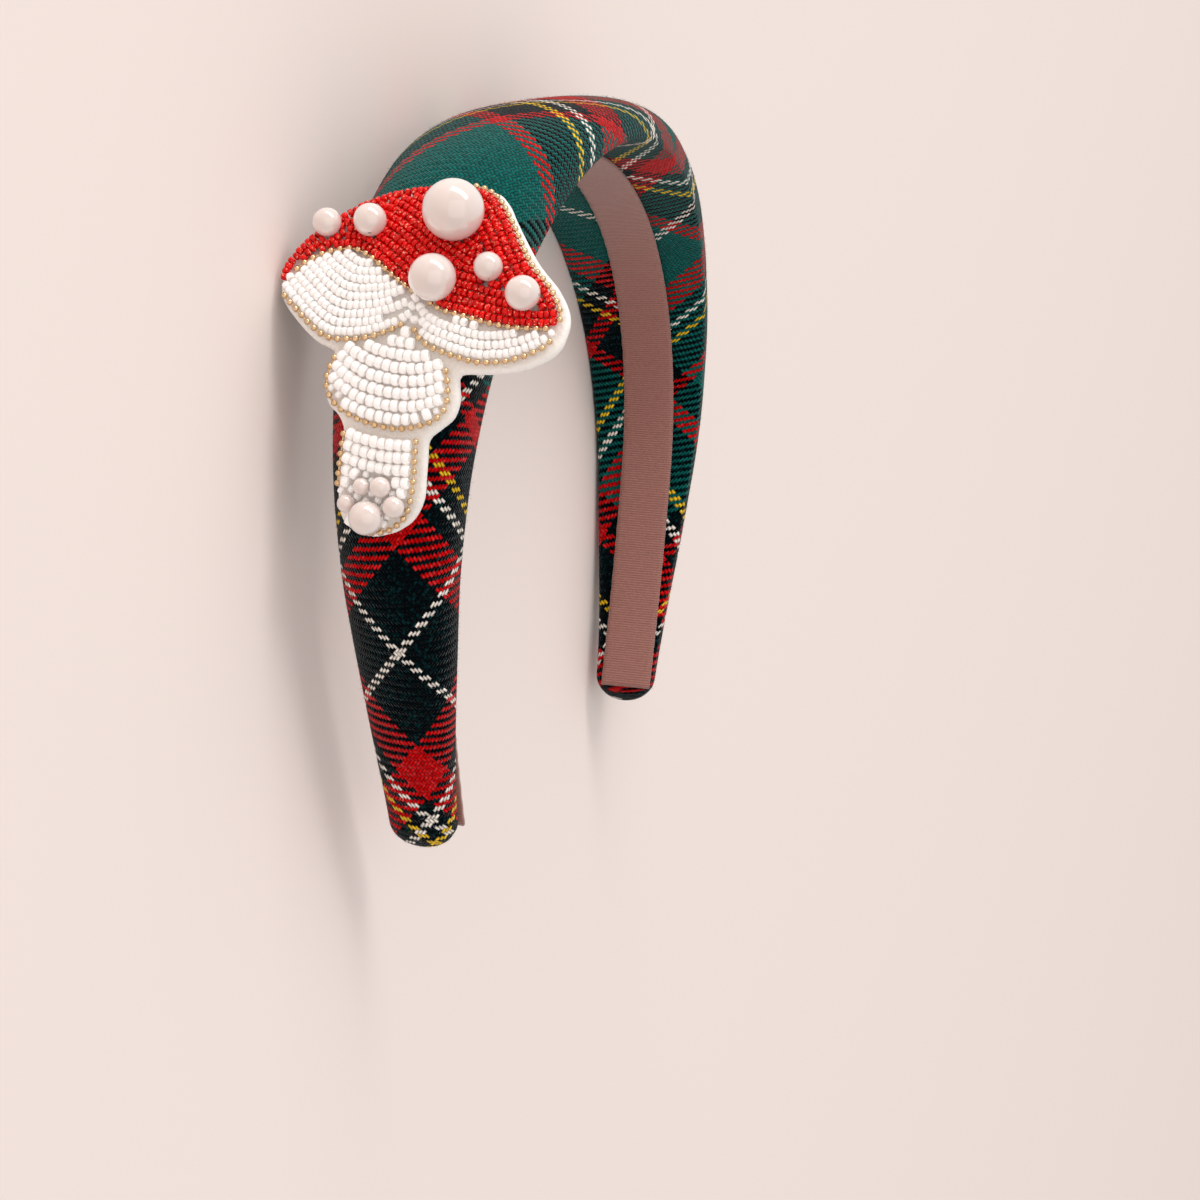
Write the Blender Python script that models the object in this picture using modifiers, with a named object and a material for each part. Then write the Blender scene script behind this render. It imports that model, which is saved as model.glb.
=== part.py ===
"""Padded tartan headband with a beaded felt toadstool.

The headband is modelled as it is worn: +X to the wearer's left, +Y to the back and +Z up,
with the origin on the hoop's crown. It is then laid down on its back edge, as it rests.
Metres throughout.
"""
import math

import bmesh
import bpy
import numpy as np
from mathutils import Matrix, Vector

# Hoop: three arcs from the crown down to a tip
CROWN_RADIUS = 0.085
CROWN_ANGLE = 0.60
SHOULDER_RADIUS = 0.066
SHOULDER_ANGLE = 1.15
SIDE_RADIUS = 0.39
HALF_LENGTH = 0.1802

# Padded band
BAND_WIDTH = 0.0395
PAD_HEIGHT = 0.0162
PAD_UNDER = 0.0026
CROWN_TILT = 0.10
TIP_ROUND = 0.0055
TIP_STEPS = (0.64, 0.36, 0.16, 0.04)
RING_POINTS = 14
SECTIONS = 34
SMOOTHING_LOSS = 1.02

# Ribbon on the inner face
LINING_WIDTH = 0.0115
LINING_THICK = 0.0010
LINING_SHIFT = 0.0012
LINING_SEAT = 0.0005
LINING_END = 0.0030

# Toadstool, laid out flat: its distance from the crown, its size and its layers
TOADSTOOL_DISTANCE = 0.0575
TOADSTOOL_WIDTH = 0.056
TOADSTOOL_HEIGHT = 0.070
FELT_THICK = 0.0020
BEAD_THICK = 0.0016
GOLD_WIRE = 0.0010
GAP = 0.0003
BEND_STEP = 0.006
BACKING_LEAD = 0.020
OUTLINE_STEP = 0.0022

# Share of the half length, share of the band width there
WIDTHS = ((0.0, 1.0), (0.25, 0.92), (0.5, 0.735), (0.75, 0.522), (0.95, 0.352), (1.0, 0.335))

# Share of the half length, share of the pad height there
HEIGHTS = ((0.0, 0.52), (0.33, 1.0), (0.66, 0.58), (1.0, 0.28))

# Outlines: share of the toadstool's width towards the front, share of its height down
CAP_EDGE = (
    (-0.402, 0.345), (-0.41, 0.305), (-0.385, 0.252), (-0.335, 0.195), (-0.245, 0.12),
    (-0.125, 0.053), (0.0, 0.02), (0.16, 0.005), (0.26, 0.037), (0.346, 0.123), (0.443, 0.24),
    (0.53, 0.311), (0.579, 0.375), (0.575, 0.413),
)
LEFT_GILL_TOP = (
    (-0.402, 0.345), (-0.375, 0.312), (-0.33, 0.272), (-0.26, 0.24), (-0.19, 0.228),
    (-0.14, 0.237), (-0.07, 0.27), (-0.01, 0.304), (0.05, 0.334), (0.098, 0.354),
)
LEFT_GILL_FOOT = (
    (-0.402, 0.345), (-0.385, 0.372), (-0.32, 0.417), (-0.257, 0.457), (-0.198, 0.479),
    (-0.12, 0.477), (-0.06, 0.468), (0.016, 0.444), (0.07, 0.416),
)
RIGHT_GILL_TOP = (
    (0.098, 0.354), (0.168, 0.384), (0.24, 0.396), (0.33, 0.411), (0.416, 0.42), (0.52, 0.42),
    (0.575, 0.413),
)
RIGHT_GILL_FOOT = (
    (0.07, 0.416), (0.109, 0.462), (0.171, 0.49), (0.296, 0.515), (0.366, 0.516),
    (0.432, 0.507), (0.498, 0.487), (0.554, 0.458), (0.575, 0.413),
)
SKIRT_SIDES = (
    (0.214, 0.534), (0.23, 0.58), (0.23, 0.636), (0.186, 0.676), (0.084, 0.70), (-0.025, 0.693),
    (-0.12, 0.666), (-0.175, 0.631), (-0.193, 0.586), (-0.178, 0.535), (-0.15, 0.505),
)
SKIRT_TOP = (
    (-0.15, 0.505), (-0.054, 0.495), (0.03, 0.475), (0.075, 0.468), (0.13, 0.503),
    (0.214, 0.534),
)
STEM_RIGHT = (
    (0.136, 0.715), (0.134, 0.807), (0.127, 0.867), (0.104, 0.926), (0.043, 0.966),
    (-0.036, 0.977),
)
STEM_LEFT = (
    (-0.036, 0.977), (-0.107, 0.947), (-0.132, 0.886), (-0.128, 0.809), (-0.116, 0.713),
)
STEM_TOP = ((-0.116, 0.713), (0.0, 0.729), (0.136, 0.715))
FELT_EDGE = (
    (0.16, -0.010), (0.25, 0.0), (0.305, 0.045), (0.36, 0.112), (0.46, 0.225), (0.55, 0.30),
    (0.600, 0.365), (0.602, 0.42), (0.58, 0.468), (0.515, 0.506), (0.43, 0.53), (0.33, 0.54),
    (0.262, 0.545), (0.258, 0.57), (0.265, 0.61), (0.25, 0.657), (0.205, 0.693), (0.17, 0.72),
    (0.166, 0.77), (0.163, 0.83), (0.155, 0.885), (0.125, 0.94), (0.055, 0.985), (-0.04, 1.0),
    (-0.13, 0.967), (-0.16, 0.90), (-0.156, 0.81), (-0.146, 0.72), (-0.16, 0.68),
    (-0.205, 0.65), (-0.224, 0.59), (-0.21, 0.54), (-0.20, 0.505), (-0.27, 0.485),
    (-0.345, 0.435), (-0.415, 0.375), (-0.43, 0.315), (-0.395, 0.232), (-0.35, 0.182),
    (-0.262, 0.10), (-0.137, 0.033), (0.0, 0.0),
)

# Gold edging: name, start and end as shares of the line's length, and the line
GOLD_LINES = (
    ("cap", CAP_EDGE, 0.52, 0.985),
    ("gill_right", RIGHT_GILL_FOOT, 0.05, 0.93),
    ("gill_left", LEFT_GILL_FOOT, 0.06, 0.95),
    ("brim_left", LEFT_GILL_TOP, 0.10, 0.95),
    ("brim_right", RIGHT_GILL_TOP, 0.05, 0.95),
    ("skirt", SKIRT_SIDES, 0.0, 0.97),
    ("stem", STEM_RIGHT, 0.02, 0.97),
)

# Pearls placed by themselves: name, diameter, shares of the toadstool's width and height
PEARLS = (
    ("cap_pearl_1", 0.0115, 0.170, 0.143),
    ("cap_pearl_2", 0.0088, 0.145, 0.323),
    ("cap_pearl_3", 0.0065, 0.455, 0.343),
    ("cap_pearl_4", 0.0062, -0.130, 0.160),
    ("cap_pearl_5", 0.0054, 0.316, 0.273),
    ("cap_pearl_6", 0.0054, -0.282, 0.170),
    ("stem_pearl_1", 0.0064, -0.016, 0.933),
)

# Pearls sewn beside another: name, diameter, neighbour, direction in degrees from the front
BESIDE_PEARLS = (
    ("stem_pearl_2", 0.0041, "stem_pearl_1", -24.0),
    ("stem_pearl_3", 0.0039, "stem_pearl_2", 232.0),
    ("stem_pearl_4", 0.0034, "stem_pearl_1", 206.0),
    ("stem_pearl_5", 0.0032, "stem_pearl_3", 178.0),
)
PEARL_CLEARANCE = 0.0003


def clear_scene():
    for obj in list(bpy.data.objects):
        bpy.data.objects.remove(obj, do_unlink=True)


def new_collection(name):
    collection = bpy.data.collections.new(name)
    bpy.context.scene.collection.children.link(collection)
    return collection


def material(name, colour, roughness, metallic=0.0):
    mat = bpy.data.materials.new(name)
    mat.use_nodes = True
    shader = mat.node_tree.nodes["Principled BSDF"]
    shader.inputs["Base Color"].default_value = (*colour, 1.0)
    shader.inputs["Roughness"].default_value = roughness
    shader.inputs["Metallic"].default_value = metallic
    mat.diffuse_color = (*colour, 1.0)
    return mat


def read_table(table, share):
    """Smooth value of a two-column table at a share, by cubic pieces that keep its rises."""
    keys = [row[0] for row in table]
    values = [row[1] for row in table]
    steps = [(values[i + 1] - values[i]) / (keys[i + 1] - keys[i]) for i in range(len(keys) - 1)]
    slopes = [0.0]
    for before, after in zip(steps, steps[1:]):
        same_way = before * after > 0.0
        slopes.append(2.0 * before * after / (before + after) if same_way else 0.0)
    slopes.append(steps[-1])
    share = min(max(share, keys[0]), keys[-1])
    i = max(k for k in range(len(keys) - 1) if keys[k] <= share)
    span = keys[i + 1] - keys[i]
    u = (share - keys[i]) / span
    return (
        values[i] * (1 + 2 * u) * (1 - u) ** 2
        + slopes[i] * span * u * (1 - u) ** 2
        + values[i + 1] * u * u * (3 - 2 * u)
        + slopes[i + 1] * span * u * u * (u - 1)
    )


def hoop(along):
    """Point on the hoop and its outward direction, along metres from the crown.

    Positive lengths go down the wearer's right side.
    """
    arcs = (
        (CROWN_RADIUS, CROWN_ANGLE),
        (SHOULDER_RADIUS, SHOULDER_ANGLE),
        (SIDE_RADIUS, math.inf),
    )
    left = abs(along)
    angle = 0.0
    out = 0.0
    drop = 0.0
    for radius, sweep in arcs:
        turn = min(left / radius, sweep)
        out += radius * (math.sin(angle + turn) - math.sin(angle))
        drop += radius * (math.cos(angle) - math.cos(angle + turn))
        angle += turn
        left -= turn * radius
    side = -1.0 if along >= 0.0 else 1.0
    point = Vector((side * out, 0.0, -drop))
    outward = Vector((side * math.sin(angle), 0.0, math.cos(angle)))
    return point, outward


def tip_factor(along):
    """Share of the full section that is left at the rounded tips."""
    inside = min((HALF_LENGTH - abs(along)) / TIP_ROUND, 1.0)
    return math.sqrt(max(1.0 - (1.0 - inside) ** 2, 0.0))


def band_width(along):
    return BAND_WIDTH * read_table(WIDTHS, abs(along) / HALF_LENGTH) * tip_factor(along)


def pad_height(along):
    return PAD_HEIGHT * read_table(HEIGHTS, abs(along) / HALF_LENGTH)


def on_hoop(along, back, out):
    """Place a point of a cross-section: back from its middle, out from the hoop."""
    point, outward = hoop(along)
    tilt = -CROWN_TILT * math.cos(0.5 * math.pi * along / HALF_LENGTH)
    turned_back = math.cos(tilt) * back - math.sin(tilt) * out
    turned_out = math.sin(tilt) * back + math.cos(tilt) * out
    return point + turned_out * outward + Vector((0.0, turned_back, 0.0))


def loft(name, rings):
    """One closed body through rings of equal length, with a face over each end."""
    bm = bmesh.new()
    loops = [[bm.verts.new(point) for point in ring] for ring in rings]
    count = len(loops[0])
    for near, far in zip(loops, loops[1:]):
        for k in range(count):
            after = (k + 1) % count
            bm.faces.new((near[k], near[after], far[after], far[k]))
    bm.faces.new(loops[0])
    bm.faces.new(loops[-1])
    face_out(bm)
    mesh = bpy.data.meshes.new(name)
    bm.to_mesh(mesh)
    bm.free()
    return bpy.data.objects.new(name, mesh)


def face_out(bm):
    """Turn the faces of a closed body to its outside."""
    bmesh.ops.recalc_face_normals(bm, faces=bm.faces)
    if bm.calc_volume(signed=True) < 0.0:
        bmesh.ops.reverse_faces(bm, faces=bm.faces)


def smooth(obj, angle=0.7):
    obj.data.shade_smooth()
    obj.data.set_sharp_from_angle(angle=angle)


def band_ring(along):
    """Cross-section of the padded band: a dome outside and a nearly flat inner face."""
    half = 0.5 * band_width(along) * SMOOTHING_LOSS
    dome = pad_height(along) * SMOOTHING_LOSS * tip_factor(along)
    under = PAD_UNDER * tip_factor(along)
    ring = []
    for k in range(RING_POINTS):
        phi = 2.0 * math.pi * k / RING_POINTS
        back = half * math.cos(phi)
        lift = abs(math.sin(phi))
        out = dome * lift ** 0.8 if math.sin(phi) >= 0.0 else -under * lift ** 0.5
        ring.append(on_hoop(along, back, out))
    return ring


def band_stations():
    """Places of the cage's rings, closer together round the tips."""
    straight = HALF_LENGTH - TIP_ROUND
    places = [straight * (2.0 * i / SECTIONS - 1.0) for i in range(SECTIONS + 1)]
    ends = [HALF_LENGTH - TIP_ROUND * step for step in TIP_STEPS]
    return [-end for end in reversed(ends)] + places + ends


def make_band():
    band = loft("band", [band_ring(along) for along in band_stations()])
    soft = band.modifiers.new("soft", "SUBSURF")
    soft.levels = 1
    soft.render_levels = 1
    band.data.shade_smooth()
    return band


def make_lining():
    """Ribbon along the inner face, sewn a little nearer the front edge."""
    end = HALF_LENGTH - LINING_END
    near = -(PAD_UNDER * SMOOTHING_LOSS + LINING_SEAT)
    far = near - LINING_THICK
    middle = -LINING_SHIFT
    corners = (
        (middle - 0.5 * LINING_WIDTH, near),
        (middle + 0.5 * LINING_WIDTH, near),
        (middle + 0.5 * LINING_WIDTH, far),
        (middle - 0.5 * LINING_WIDTH, far),
    )
    count = SECTIONS
    rings = []
    for i in range(count + 1):
        along = end * (2.0 * i / count - 1.0)
        rings.append([on_hoop(along, back, out) for back, out in corners])
    lining = loft("lining", rings)
    smooth(lining)
    return lining


def backing_curve():
    """Lengths along the felt's back, from the toadstool's top, against lengths of the hoop."""
    places = np.linspace(TOADSTOOL_DISTANCE - BACKING_LEAD, HALF_LENGTH, 240)
    points = []
    for along in places:
        point, outward = hoop(along)
        points.append(point + outward * (pad_height(along) + FELT_THICK))
    steps = [(after - before).length for before, after in zip(points, points[1:])]
    lengths = np.concatenate([[0.0], np.cumsum(steps)])
    lengths -= np.interp(TOADSTOOL_DISTANCE, places, lengths)
    return places, lengths


BACKING = backing_curve()


def on_backing(front, down, height):
    """Bend a flat point round the arch; height is measured from the pad's top line."""
    along = float(np.interp(down, BACKING[1], BACKING[0]))
    point, outward = hoop(along)
    return point + outward * (pad_height(along) + height) + Vector((0.0, -front, 0.0))


def outline(shares):
    """Smooth line through shares of the toadstool's size, in even steps."""
    keys = [Vector((x * TOADSTOOL_WIDTH, y * TOADSTOOL_HEIGHT)) for x, y in shares]
    line = [keys[0]]
    for i in range(len(keys) - 1):
        before = keys[max(i - 1, 0)]
        after = keys[min(i + 2, len(keys) - 1)]
        start = (keys[i + 1] - before) * 0.5
        finish = (after - keys[i]) * 0.5
        count = max(1, round((keys[i + 1] - keys[i]).length / OUTLINE_STEP))
        for k in range(1, count + 1):
            u = k / count
            line.append(
                keys[i] * (1 + 2 * u) * (1 - u) ** 2
                + start * u * (1 - u) ** 2
                + keys[i + 1] * u * u * (3 - 2 * u)
                + finish * u * u * (u - 1)
            )
    return line


def closed(*lines):
    """Join lines end to start into one ring, each shared corner once."""
    ring = []
    for line in lines:
        ring.extend(line[:-1])
    return ring


def area(ring):
    pairs = zip(ring, ring[1:] + ring[:1])
    return 0.5 * sum(p.x * q.y - q.x * p.y for p, q in pairs)


def inset(ring, distance):
    """Move a ring's points towards its inside, by at most twice the distance at a corner."""
    turn = 1.0 if area(ring) > 0.0 else -1.0
    moved = []
    for i, point in enumerate(ring):
        before = (point - ring[i - 1]).normalized()
        after = (ring[(i + 1) % len(ring)] - point).normalized()
        inward = Vector((-(before.y + after.y), before.x + after.x)) * turn
        inward.normalize()
        lean = inward.dot(Vector((-before.y, before.x)) * turn)
        moved.append(point + inward * distance / max(lean, 0.5))
    return moved


def plate(name, ring, low, high):
    """Flat outline made thick, cut into strips across and bent round the arch."""
    bm = bmesh.new()
    face = bm.faces.new([bm.verts.new((point.x, point.y, low)) for point in ring])
    raised = bmesh.ops.extrude_face_region(bm, geom=[face])
    for vert in raised["geom"]:
        if isinstance(vert, bmesh.types.BMVert):
            vert.co.z = high
    bottom = min(point.y for point in ring)
    top = max(point.y for point in ring)
    cut = BEND_STEP * math.ceil(bottom / BEND_STEP)
    while cut < top:
        geometry = bm.verts[:] + bm.edges[:] + bm.faces[:]
        bmesh.ops.bisect_plane(
            bm, geom=geometry, dist=1e-6, plane_co=(0.0, cut, 0.0), plane_no=(0.0, 1.0, 0.0)
        )
        cut += BEND_STEP
    bmesh.ops.triangulate(bm, faces=[f for f in bm.faces if len(f.verts) > 4])
    for vert in bm.verts:
        vert.co = on_backing(vert.co.x, vert.co.y, vert.co.z)
    face_out(bm)
    mesh = bpy.data.meshes.new(name)
    bm.to_mesh(mesh)
    bm.free()
    obj = bpy.data.objects.new(name, mesh)
    smooth(obj)
    return obj


FELT_LOW = GAP
FELT_HIGH = FELT_LOW + FELT_THICK
BEAD_LOW = FELT_HIGH + GAP
BEAD_HIGH = BEAD_LOW + BEAD_THICK
GOLD_ROOM = 0.5 * GOLD_WIRE + GAP


def make_felt():
    ring = closed(outline(FELT_EDGE + FELT_EDGE[:1]))
    return plate("felt_backing", ring, FELT_LOW, FELT_HIGH)


def make_bead_fields():
    """Raised fields of seed beads, each drawn in from the gold lines round it."""
    divide = outline((LEFT_GILL_TOP[-1], LEFT_GILL_FOOT[-1]))
    fields = {
        "cap_beads": closed(
            outline(CAP_EDGE), outline(RIGHT_GILL_TOP)[::-1], outline(LEFT_GILL_TOP)[::-1]
        ),
        "gill_left": closed(outline(LEFT_GILL_TOP), divide, outline(LEFT_GILL_FOOT)[::-1]),
        "gill_right": closed(outline(RIGHT_GILL_TOP), outline(RIGHT_GILL_FOOT)[::-1], divide[::-1]),
        "skirt_beads": closed(outline(SKIRT_SIDES), outline(SKIRT_TOP)),
        "stem_beads": closed(outline(STEM_RIGHT), outline(STEM_LEFT), outline(STEM_TOP)),
    }
    return [
        plate(name, inset(ring, GOLD_ROOM), BEAD_LOW, BEAD_HIGH) for name, ring in fields.items()
    ]


def make_gold_line(name, shares, start, finish):
    """Edging wire on the felt, along a part of one outline."""
    line = outline(shares)
    steps = [(after - before).length for before, after in zip(line, line[1:])]
    lengths = np.concatenate([[0.0], np.cumsum(steps)])
    xs = [point.x for point in line]
    ys = [point.y for point in line]
    total = lengths[-1]
    count = max(2, round(total * (finish - start) / OUTLINE_STEP))
    height = BEAD_LOW + 0.5 * GOLD_WIRE
    curve = bpy.data.curves.new("gold_" + name, "CURVE")
    curve.dimensions = "3D"
    curve.bevel_depth = 0.5 * GOLD_WIRE
    curve.bevel_resolution = 2
    curve.use_fill_caps = True
    spline = curve.splines.new("POLY")
    spline.points.add(count)
    for i in range(count + 1):
        place = total * (start + (finish - start) * i / count)
        x = float(np.interp(place, lengths, xs))
        y = float(np.interp(place, lengths, ys))
        spline.points[i].co = (*on_backing(x, y, height), 1.0)
    return bpy.data.objects.new("gold_" + name, curve)


def pearl_places():
    """Each pearl's name, diameter and flat place, with neighbours a clearance apart."""
    places = {}
    for name, diameter, across, down in PEARLS:
        places[name] = (diameter, across * TOADSTOOL_WIDTH, down * TOADSTOOL_HEIGHT)
    for name, diameter, neighbour, degrees in BESIDE_PEARLS:
        other, front, down = places[neighbour]
        reach = 0.5 * (diameter + other) + PEARL_CLEARANCE
        apart = math.sqrt(reach ** 2 - (0.5 * (diameter - other)) ** 2)
        front += apart * math.cos(math.radians(degrees))
        down += apart * math.sin(math.radians(degrees))
        places[name] = (diameter, front, down)
    return [(name, *place) for name, place in places.items()]


def make_pearl(name, diameter, front, down):
    """Pearl sewn to the felt."""
    mesh = bpy.data.meshes.new(name)
    bm = bmesh.new()
    bmesh.ops.create_uvsphere(bm, u_segments=12, v_segments=8, radius=0.5 * diameter)
    bm.to_mesh(mesh)
    bm.free()
    mesh.shade_smooth()
    pearl = bpy.data.objects.new(name, mesh)
    pearl.location = on_backing(front, down, BEAD_LOW + 0.5 * diameter)
    return pearl


def make_socket(pearl, diameter):
    """Ball slightly larger than a pearl, which clears its seat in the beads."""
    mesh = bpy.data.meshes.new(pearl.name + "_socket")
    bm = bmesh.new()
    bmesh.ops.create_uvsphere(bm, u_segments=12, v_segments=8, radius=0.5 * diameter + GAP)
    bm.to_mesh(mesh)
    bm.free()
    socket = bpy.data.objects.new(pearl.name + "_socket", mesh)
    socket.location = pearl.location
    socket.hide_render = True
    socket.display_type = "WIRE"
    return socket


def cut(obj, cutter):
    boolean = obj.modifiers.new(cutter.name, "BOOLEAN")
    boolean.operation = "DIFFERENCE"
    boolean.solver = "EXACT"
    boolean.object = cutter


def solid_points(objects):
    """Corners of all solids, and their centre weighted by volume, before they are laid down."""
    graph = bpy.context.evaluated_depsgraph_get()
    points = []
    volume = 0.0
    moment = Vector()
    for obj in objects:
        shape = obj.evaluated_get(graph)
        mesh = shape.to_mesh()
        mesh.calc_loop_triangles()
        corners = [shape.matrix_world @ vert.co for vert in mesh.vertices]
        for triangle in mesh.loop_triangles:
            a, b, c = (corners[i] for i in triangle.vertices)
            share = a.dot(b.cross(c)) / 6.0
            volume += share
            moment += (a + b + c) * share / 4.0
        points.extend(corners)
        shape.to_mesh_clear()
    return points, moment / volume


def resting_normal(points, centre):
    """Direction that faces down when the headband lies on its back edge."""
    bm = bmesh.new()
    for point in points:
        bm.verts.new(point)
    hull = bmesh.ops.convex_hull(bm, input=bm.verts)
    faces = [f for f in hull["geom"] if isinstance(f, bmesh.types.BMFace)]
    down = Vector((0.0, 1.0, 0.0))
    found = down
    best = 0.8
    for face in faces:
        corners = [vert.co.copy() for vert in face.verts]
        normal = (corners[1] - corners[0]).cross(corners[2] - corners[0]).normalized()
        if normal.dot(corners[0] - centre) < 0.0:
            normal.negate()
        foot = centre + normal * normal.dot(corners[0] - centre)
        sides = [
            (corners[(i + 1) % 3] - corners[i]).cross(foot - corners[i]).dot(normal)
            for i in range(3)
        ]
        inside = min(sides) >= 0.0 or max(sides) <= 0.0
        if inside and normal.dot(down) > best:
            best = normal.dot(down)
            found = normal.copy()
    bm.free()
    return found


def lay_down(objects):
    """Turn the worn headband onto its back edge and stand it on z = 0."""
    bpy.context.view_layer.update()
    points, centre = solid_points(objects)
    normal = resting_normal(points, centre)
    seat = normal.rotation_difference(Vector((0.0, 1.0, 0.0))).to_matrix()
    lying = Matrix(((0.0, 0.0, -1.0), (1.0, 0.0, 0.0), (0.0, -1.0, 0.0)))
    turn = lying @ seat
    turned = [turn @ point for point in points]
    lows = [min(point[axis] for point in turned) for axis in range(3)]
    highs = [max(point[axis] for point in turned) for axis in range(3)]
    shift = Vector((-0.5 * (lows[0] + highs[0]), -0.5 * (lows[1] + highs[1]), -lows[2]))
    rest = bpy.data.objects.new("rest", None)
    rest.matrix_world = Matrix.Translation(shift) @ turn.to_4x4()
    return rest


def main():
    clear_scene()
    parts = new_collection("tartan_headband")
    cutters = new_collection("cutters")
    wool = material("tartan wool", (0.03, 0.16, 0.14), 0.9)
    ribbon = material("pink ribbon", (0.75, 0.42, 0.42), 0.9)
    felt = material("white felt", (0.86, 0.84, 0.80), 0.95)
    red_glass = material("red glass", (0.62, 0.02, 0.03), 0.25)
    white_glass = material("white glass", (0.88, 0.87, 0.84), 0.3)
    pearl_shell = material("pearl", (0.90, 0.86, 0.83), 0.2)
    gold = material("gold", (0.83, 0.62, 0.35), 0.3, 1.0)

    made = [(make_band(), wool), (make_lining(), ribbon), (make_felt(), felt)]
    fields = make_bead_fields()
    for field in fields:
        made.append((field, red_glass if field.name == "cap_beads" else white_glass))
    for name, line, start, finish in GOLD_LINES:
        made.append((make_gold_line(name, line, start, finish), gold))
    for name, diameter, front, down in pearl_places():
        pearl = make_pearl(name, diameter, front, down)
        made.append((pearl, pearl_shell))
        socket = make_socket(pearl, diameter)
        cutters.objects.link(socket)
        host = "cap_beads" if name.startswith("cap") else "stem_beads"
        cut(next(field for field in fields if field.name == host), socket)

    for obj, mat in made:
        obj.data.materials.append(mat)
        parts.objects.link(obj)
    rest = lay_down([obj for obj, mat in made])
    parts.objects.link(rest)
    for obj in list(parts.objects) + list(cutters.objects):
        if obj is not rest:
            obj.parent = rest


main()
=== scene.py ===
# %% [markdown]
# # A padded tartan headband with a beaded toadstool
# The headband is a hoop padded with foam and covered in tartan wool cut on the bias. A white
# felt toadstool, worked all over in seed beads, is sewn to the wearer's right side. This file
# dresses the plain solids of the frame: it adds the weave, the beads, the gold ball chain and
# the pearls. Lengths are in metres.

# %% Load the fixed frame
import math
import random

import bpy
import numpy as np
from mathutils import Matrix, Vector, noise


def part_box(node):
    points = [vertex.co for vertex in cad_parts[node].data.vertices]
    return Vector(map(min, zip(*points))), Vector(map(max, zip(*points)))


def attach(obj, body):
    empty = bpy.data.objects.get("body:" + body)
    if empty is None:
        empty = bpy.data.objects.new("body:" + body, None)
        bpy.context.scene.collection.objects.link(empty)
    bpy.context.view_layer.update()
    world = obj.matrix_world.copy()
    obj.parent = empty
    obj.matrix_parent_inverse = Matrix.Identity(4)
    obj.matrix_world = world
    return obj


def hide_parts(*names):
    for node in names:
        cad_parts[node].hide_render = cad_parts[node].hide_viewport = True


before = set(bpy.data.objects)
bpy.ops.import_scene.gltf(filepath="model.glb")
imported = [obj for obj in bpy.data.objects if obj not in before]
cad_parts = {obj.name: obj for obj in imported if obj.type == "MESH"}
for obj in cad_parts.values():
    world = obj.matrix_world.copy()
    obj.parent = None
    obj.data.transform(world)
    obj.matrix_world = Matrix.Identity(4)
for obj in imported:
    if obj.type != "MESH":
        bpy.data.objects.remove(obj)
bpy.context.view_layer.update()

random.seed(7)
print("solids in the frame:", len(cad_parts))

# %% [markdown]
# ## The hoop
# Every piece follows the hoop, so its line comes first: three arcs run from the crown down to
# each tip. Short tables give the band's width and the padding's height along it, as shares. A
# point is named by its length along the hoop, its place across the band and its height above
# the hoop. Drawing on the curve in this way keeps each piece simple, because it can be laid
# out flat and is bent only at the end.

# %% The hoop's sizes
CROWN_RADIUS = 0.085
CROWN_ANGLE = 0.60
SHOULDER_RADIUS = 0.066
SHOULDER_ANGLE = 1.15
SIDE_RADIUS = 0.39
HALF_LENGTH = 0.1802
BAND_WIDTH = 0.0395
PAD_HEIGHT = 0.0162
PAD_UNDER = 0.0026
CROWN_TILT = 0.10
TIP_ROUND = 0.0055
FELT_THICK = 0.0020
GAP = 0.0003

# Share of the half length, share of the band's width there
WIDTHS = ((0.0, 1.0), (0.25, 0.92), (0.5, 0.735), (0.75, 0.522), (0.95, 0.352), (1.0, 0.335))

# Share of the half length, share of the padding's height there
HEIGHTS = ((0.0, 0.52), (0.33, 1.0), (0.66, 0.58), (1.0, 0.28))


def blend(first, leaving, last, arriving, u):
    """Smooth way from first to last as u goes from 0 to 1, with its slopes at both ends."""
    return (
        first * (1 + 2 * u) * (1 - u) ** 2
        + leaving * u * (1 - u) ** 2
        + last * u * u * (3 - 2 * u)
        + arriving * u * u * (u - 1)
    )


def read_table(table, key):
    """Smooth value of a two-column table, by cubic pieces that keep its rises."""
    keys = [row[0] for row in table]
    values = [row[1] for row in table]
    steps = [(values[i + 1] - values[i]) / (keys[i + 1] - keys[i]) for i in range(len(keys) - 1)]
    slopes = [steps[0] if key < keys[0] else 0.0]
    for before, after in zip(steps, steps[1:]):
        same_way = before * after > 0.0
        slopes.append(2.0 * before * after / (before + after) if same_way else 0.0)
    slopes.append(steps[-1])
    key = min(max(key, keys[0]), keys[-1])
    i = max(k for k in range(len(keys) - 1) if keys[k] <= key)
    span = keys[i + 1] - keys[i]
    share = (key - keys[i]) / span
    return blend(values[i], slopes[i] * span, values[i + 1], slopes[i + 1] * span, share)


def hoop(along):
    """Point on the worn hoop and its outward direction; positive goes down the right side."""
    arcs = ((CROWN_RADIUS, CROWN_ANGLE), (SHOULDER_RADIUS, SHOULDER_ANGLE), (SIDE_RADIUS, 9.0))
    left = abs(along)
    angle = 0.0
    out = 0.0
    drop = 0.0
    for radius, sweep in arcs:
        turn = min(left / radius, sweep)
        out += radius * (math.sin(angle + turn) - math.sin(angle))
        drop += radius * (math.cos(angle) - math.cos(angle + turn))
        angle += turn
        left -= turn * radius
    side = -1.0 if along >= 0.0 else 1.0
    point = Vector((side * out, 0.0, -drop))
    return point, Vector((side * math.sin(angle), 0.0, math.cos(angle)))


def band_width(along):
    return BAND_WIDTH * read_table(WIDTHS, abs(along) / HALF_LENGTH)


def pad_height(along):
    return PAD_HEIGHT * read_table(HEIGHTS, abs(along) / HALF_LENGTH)


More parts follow.
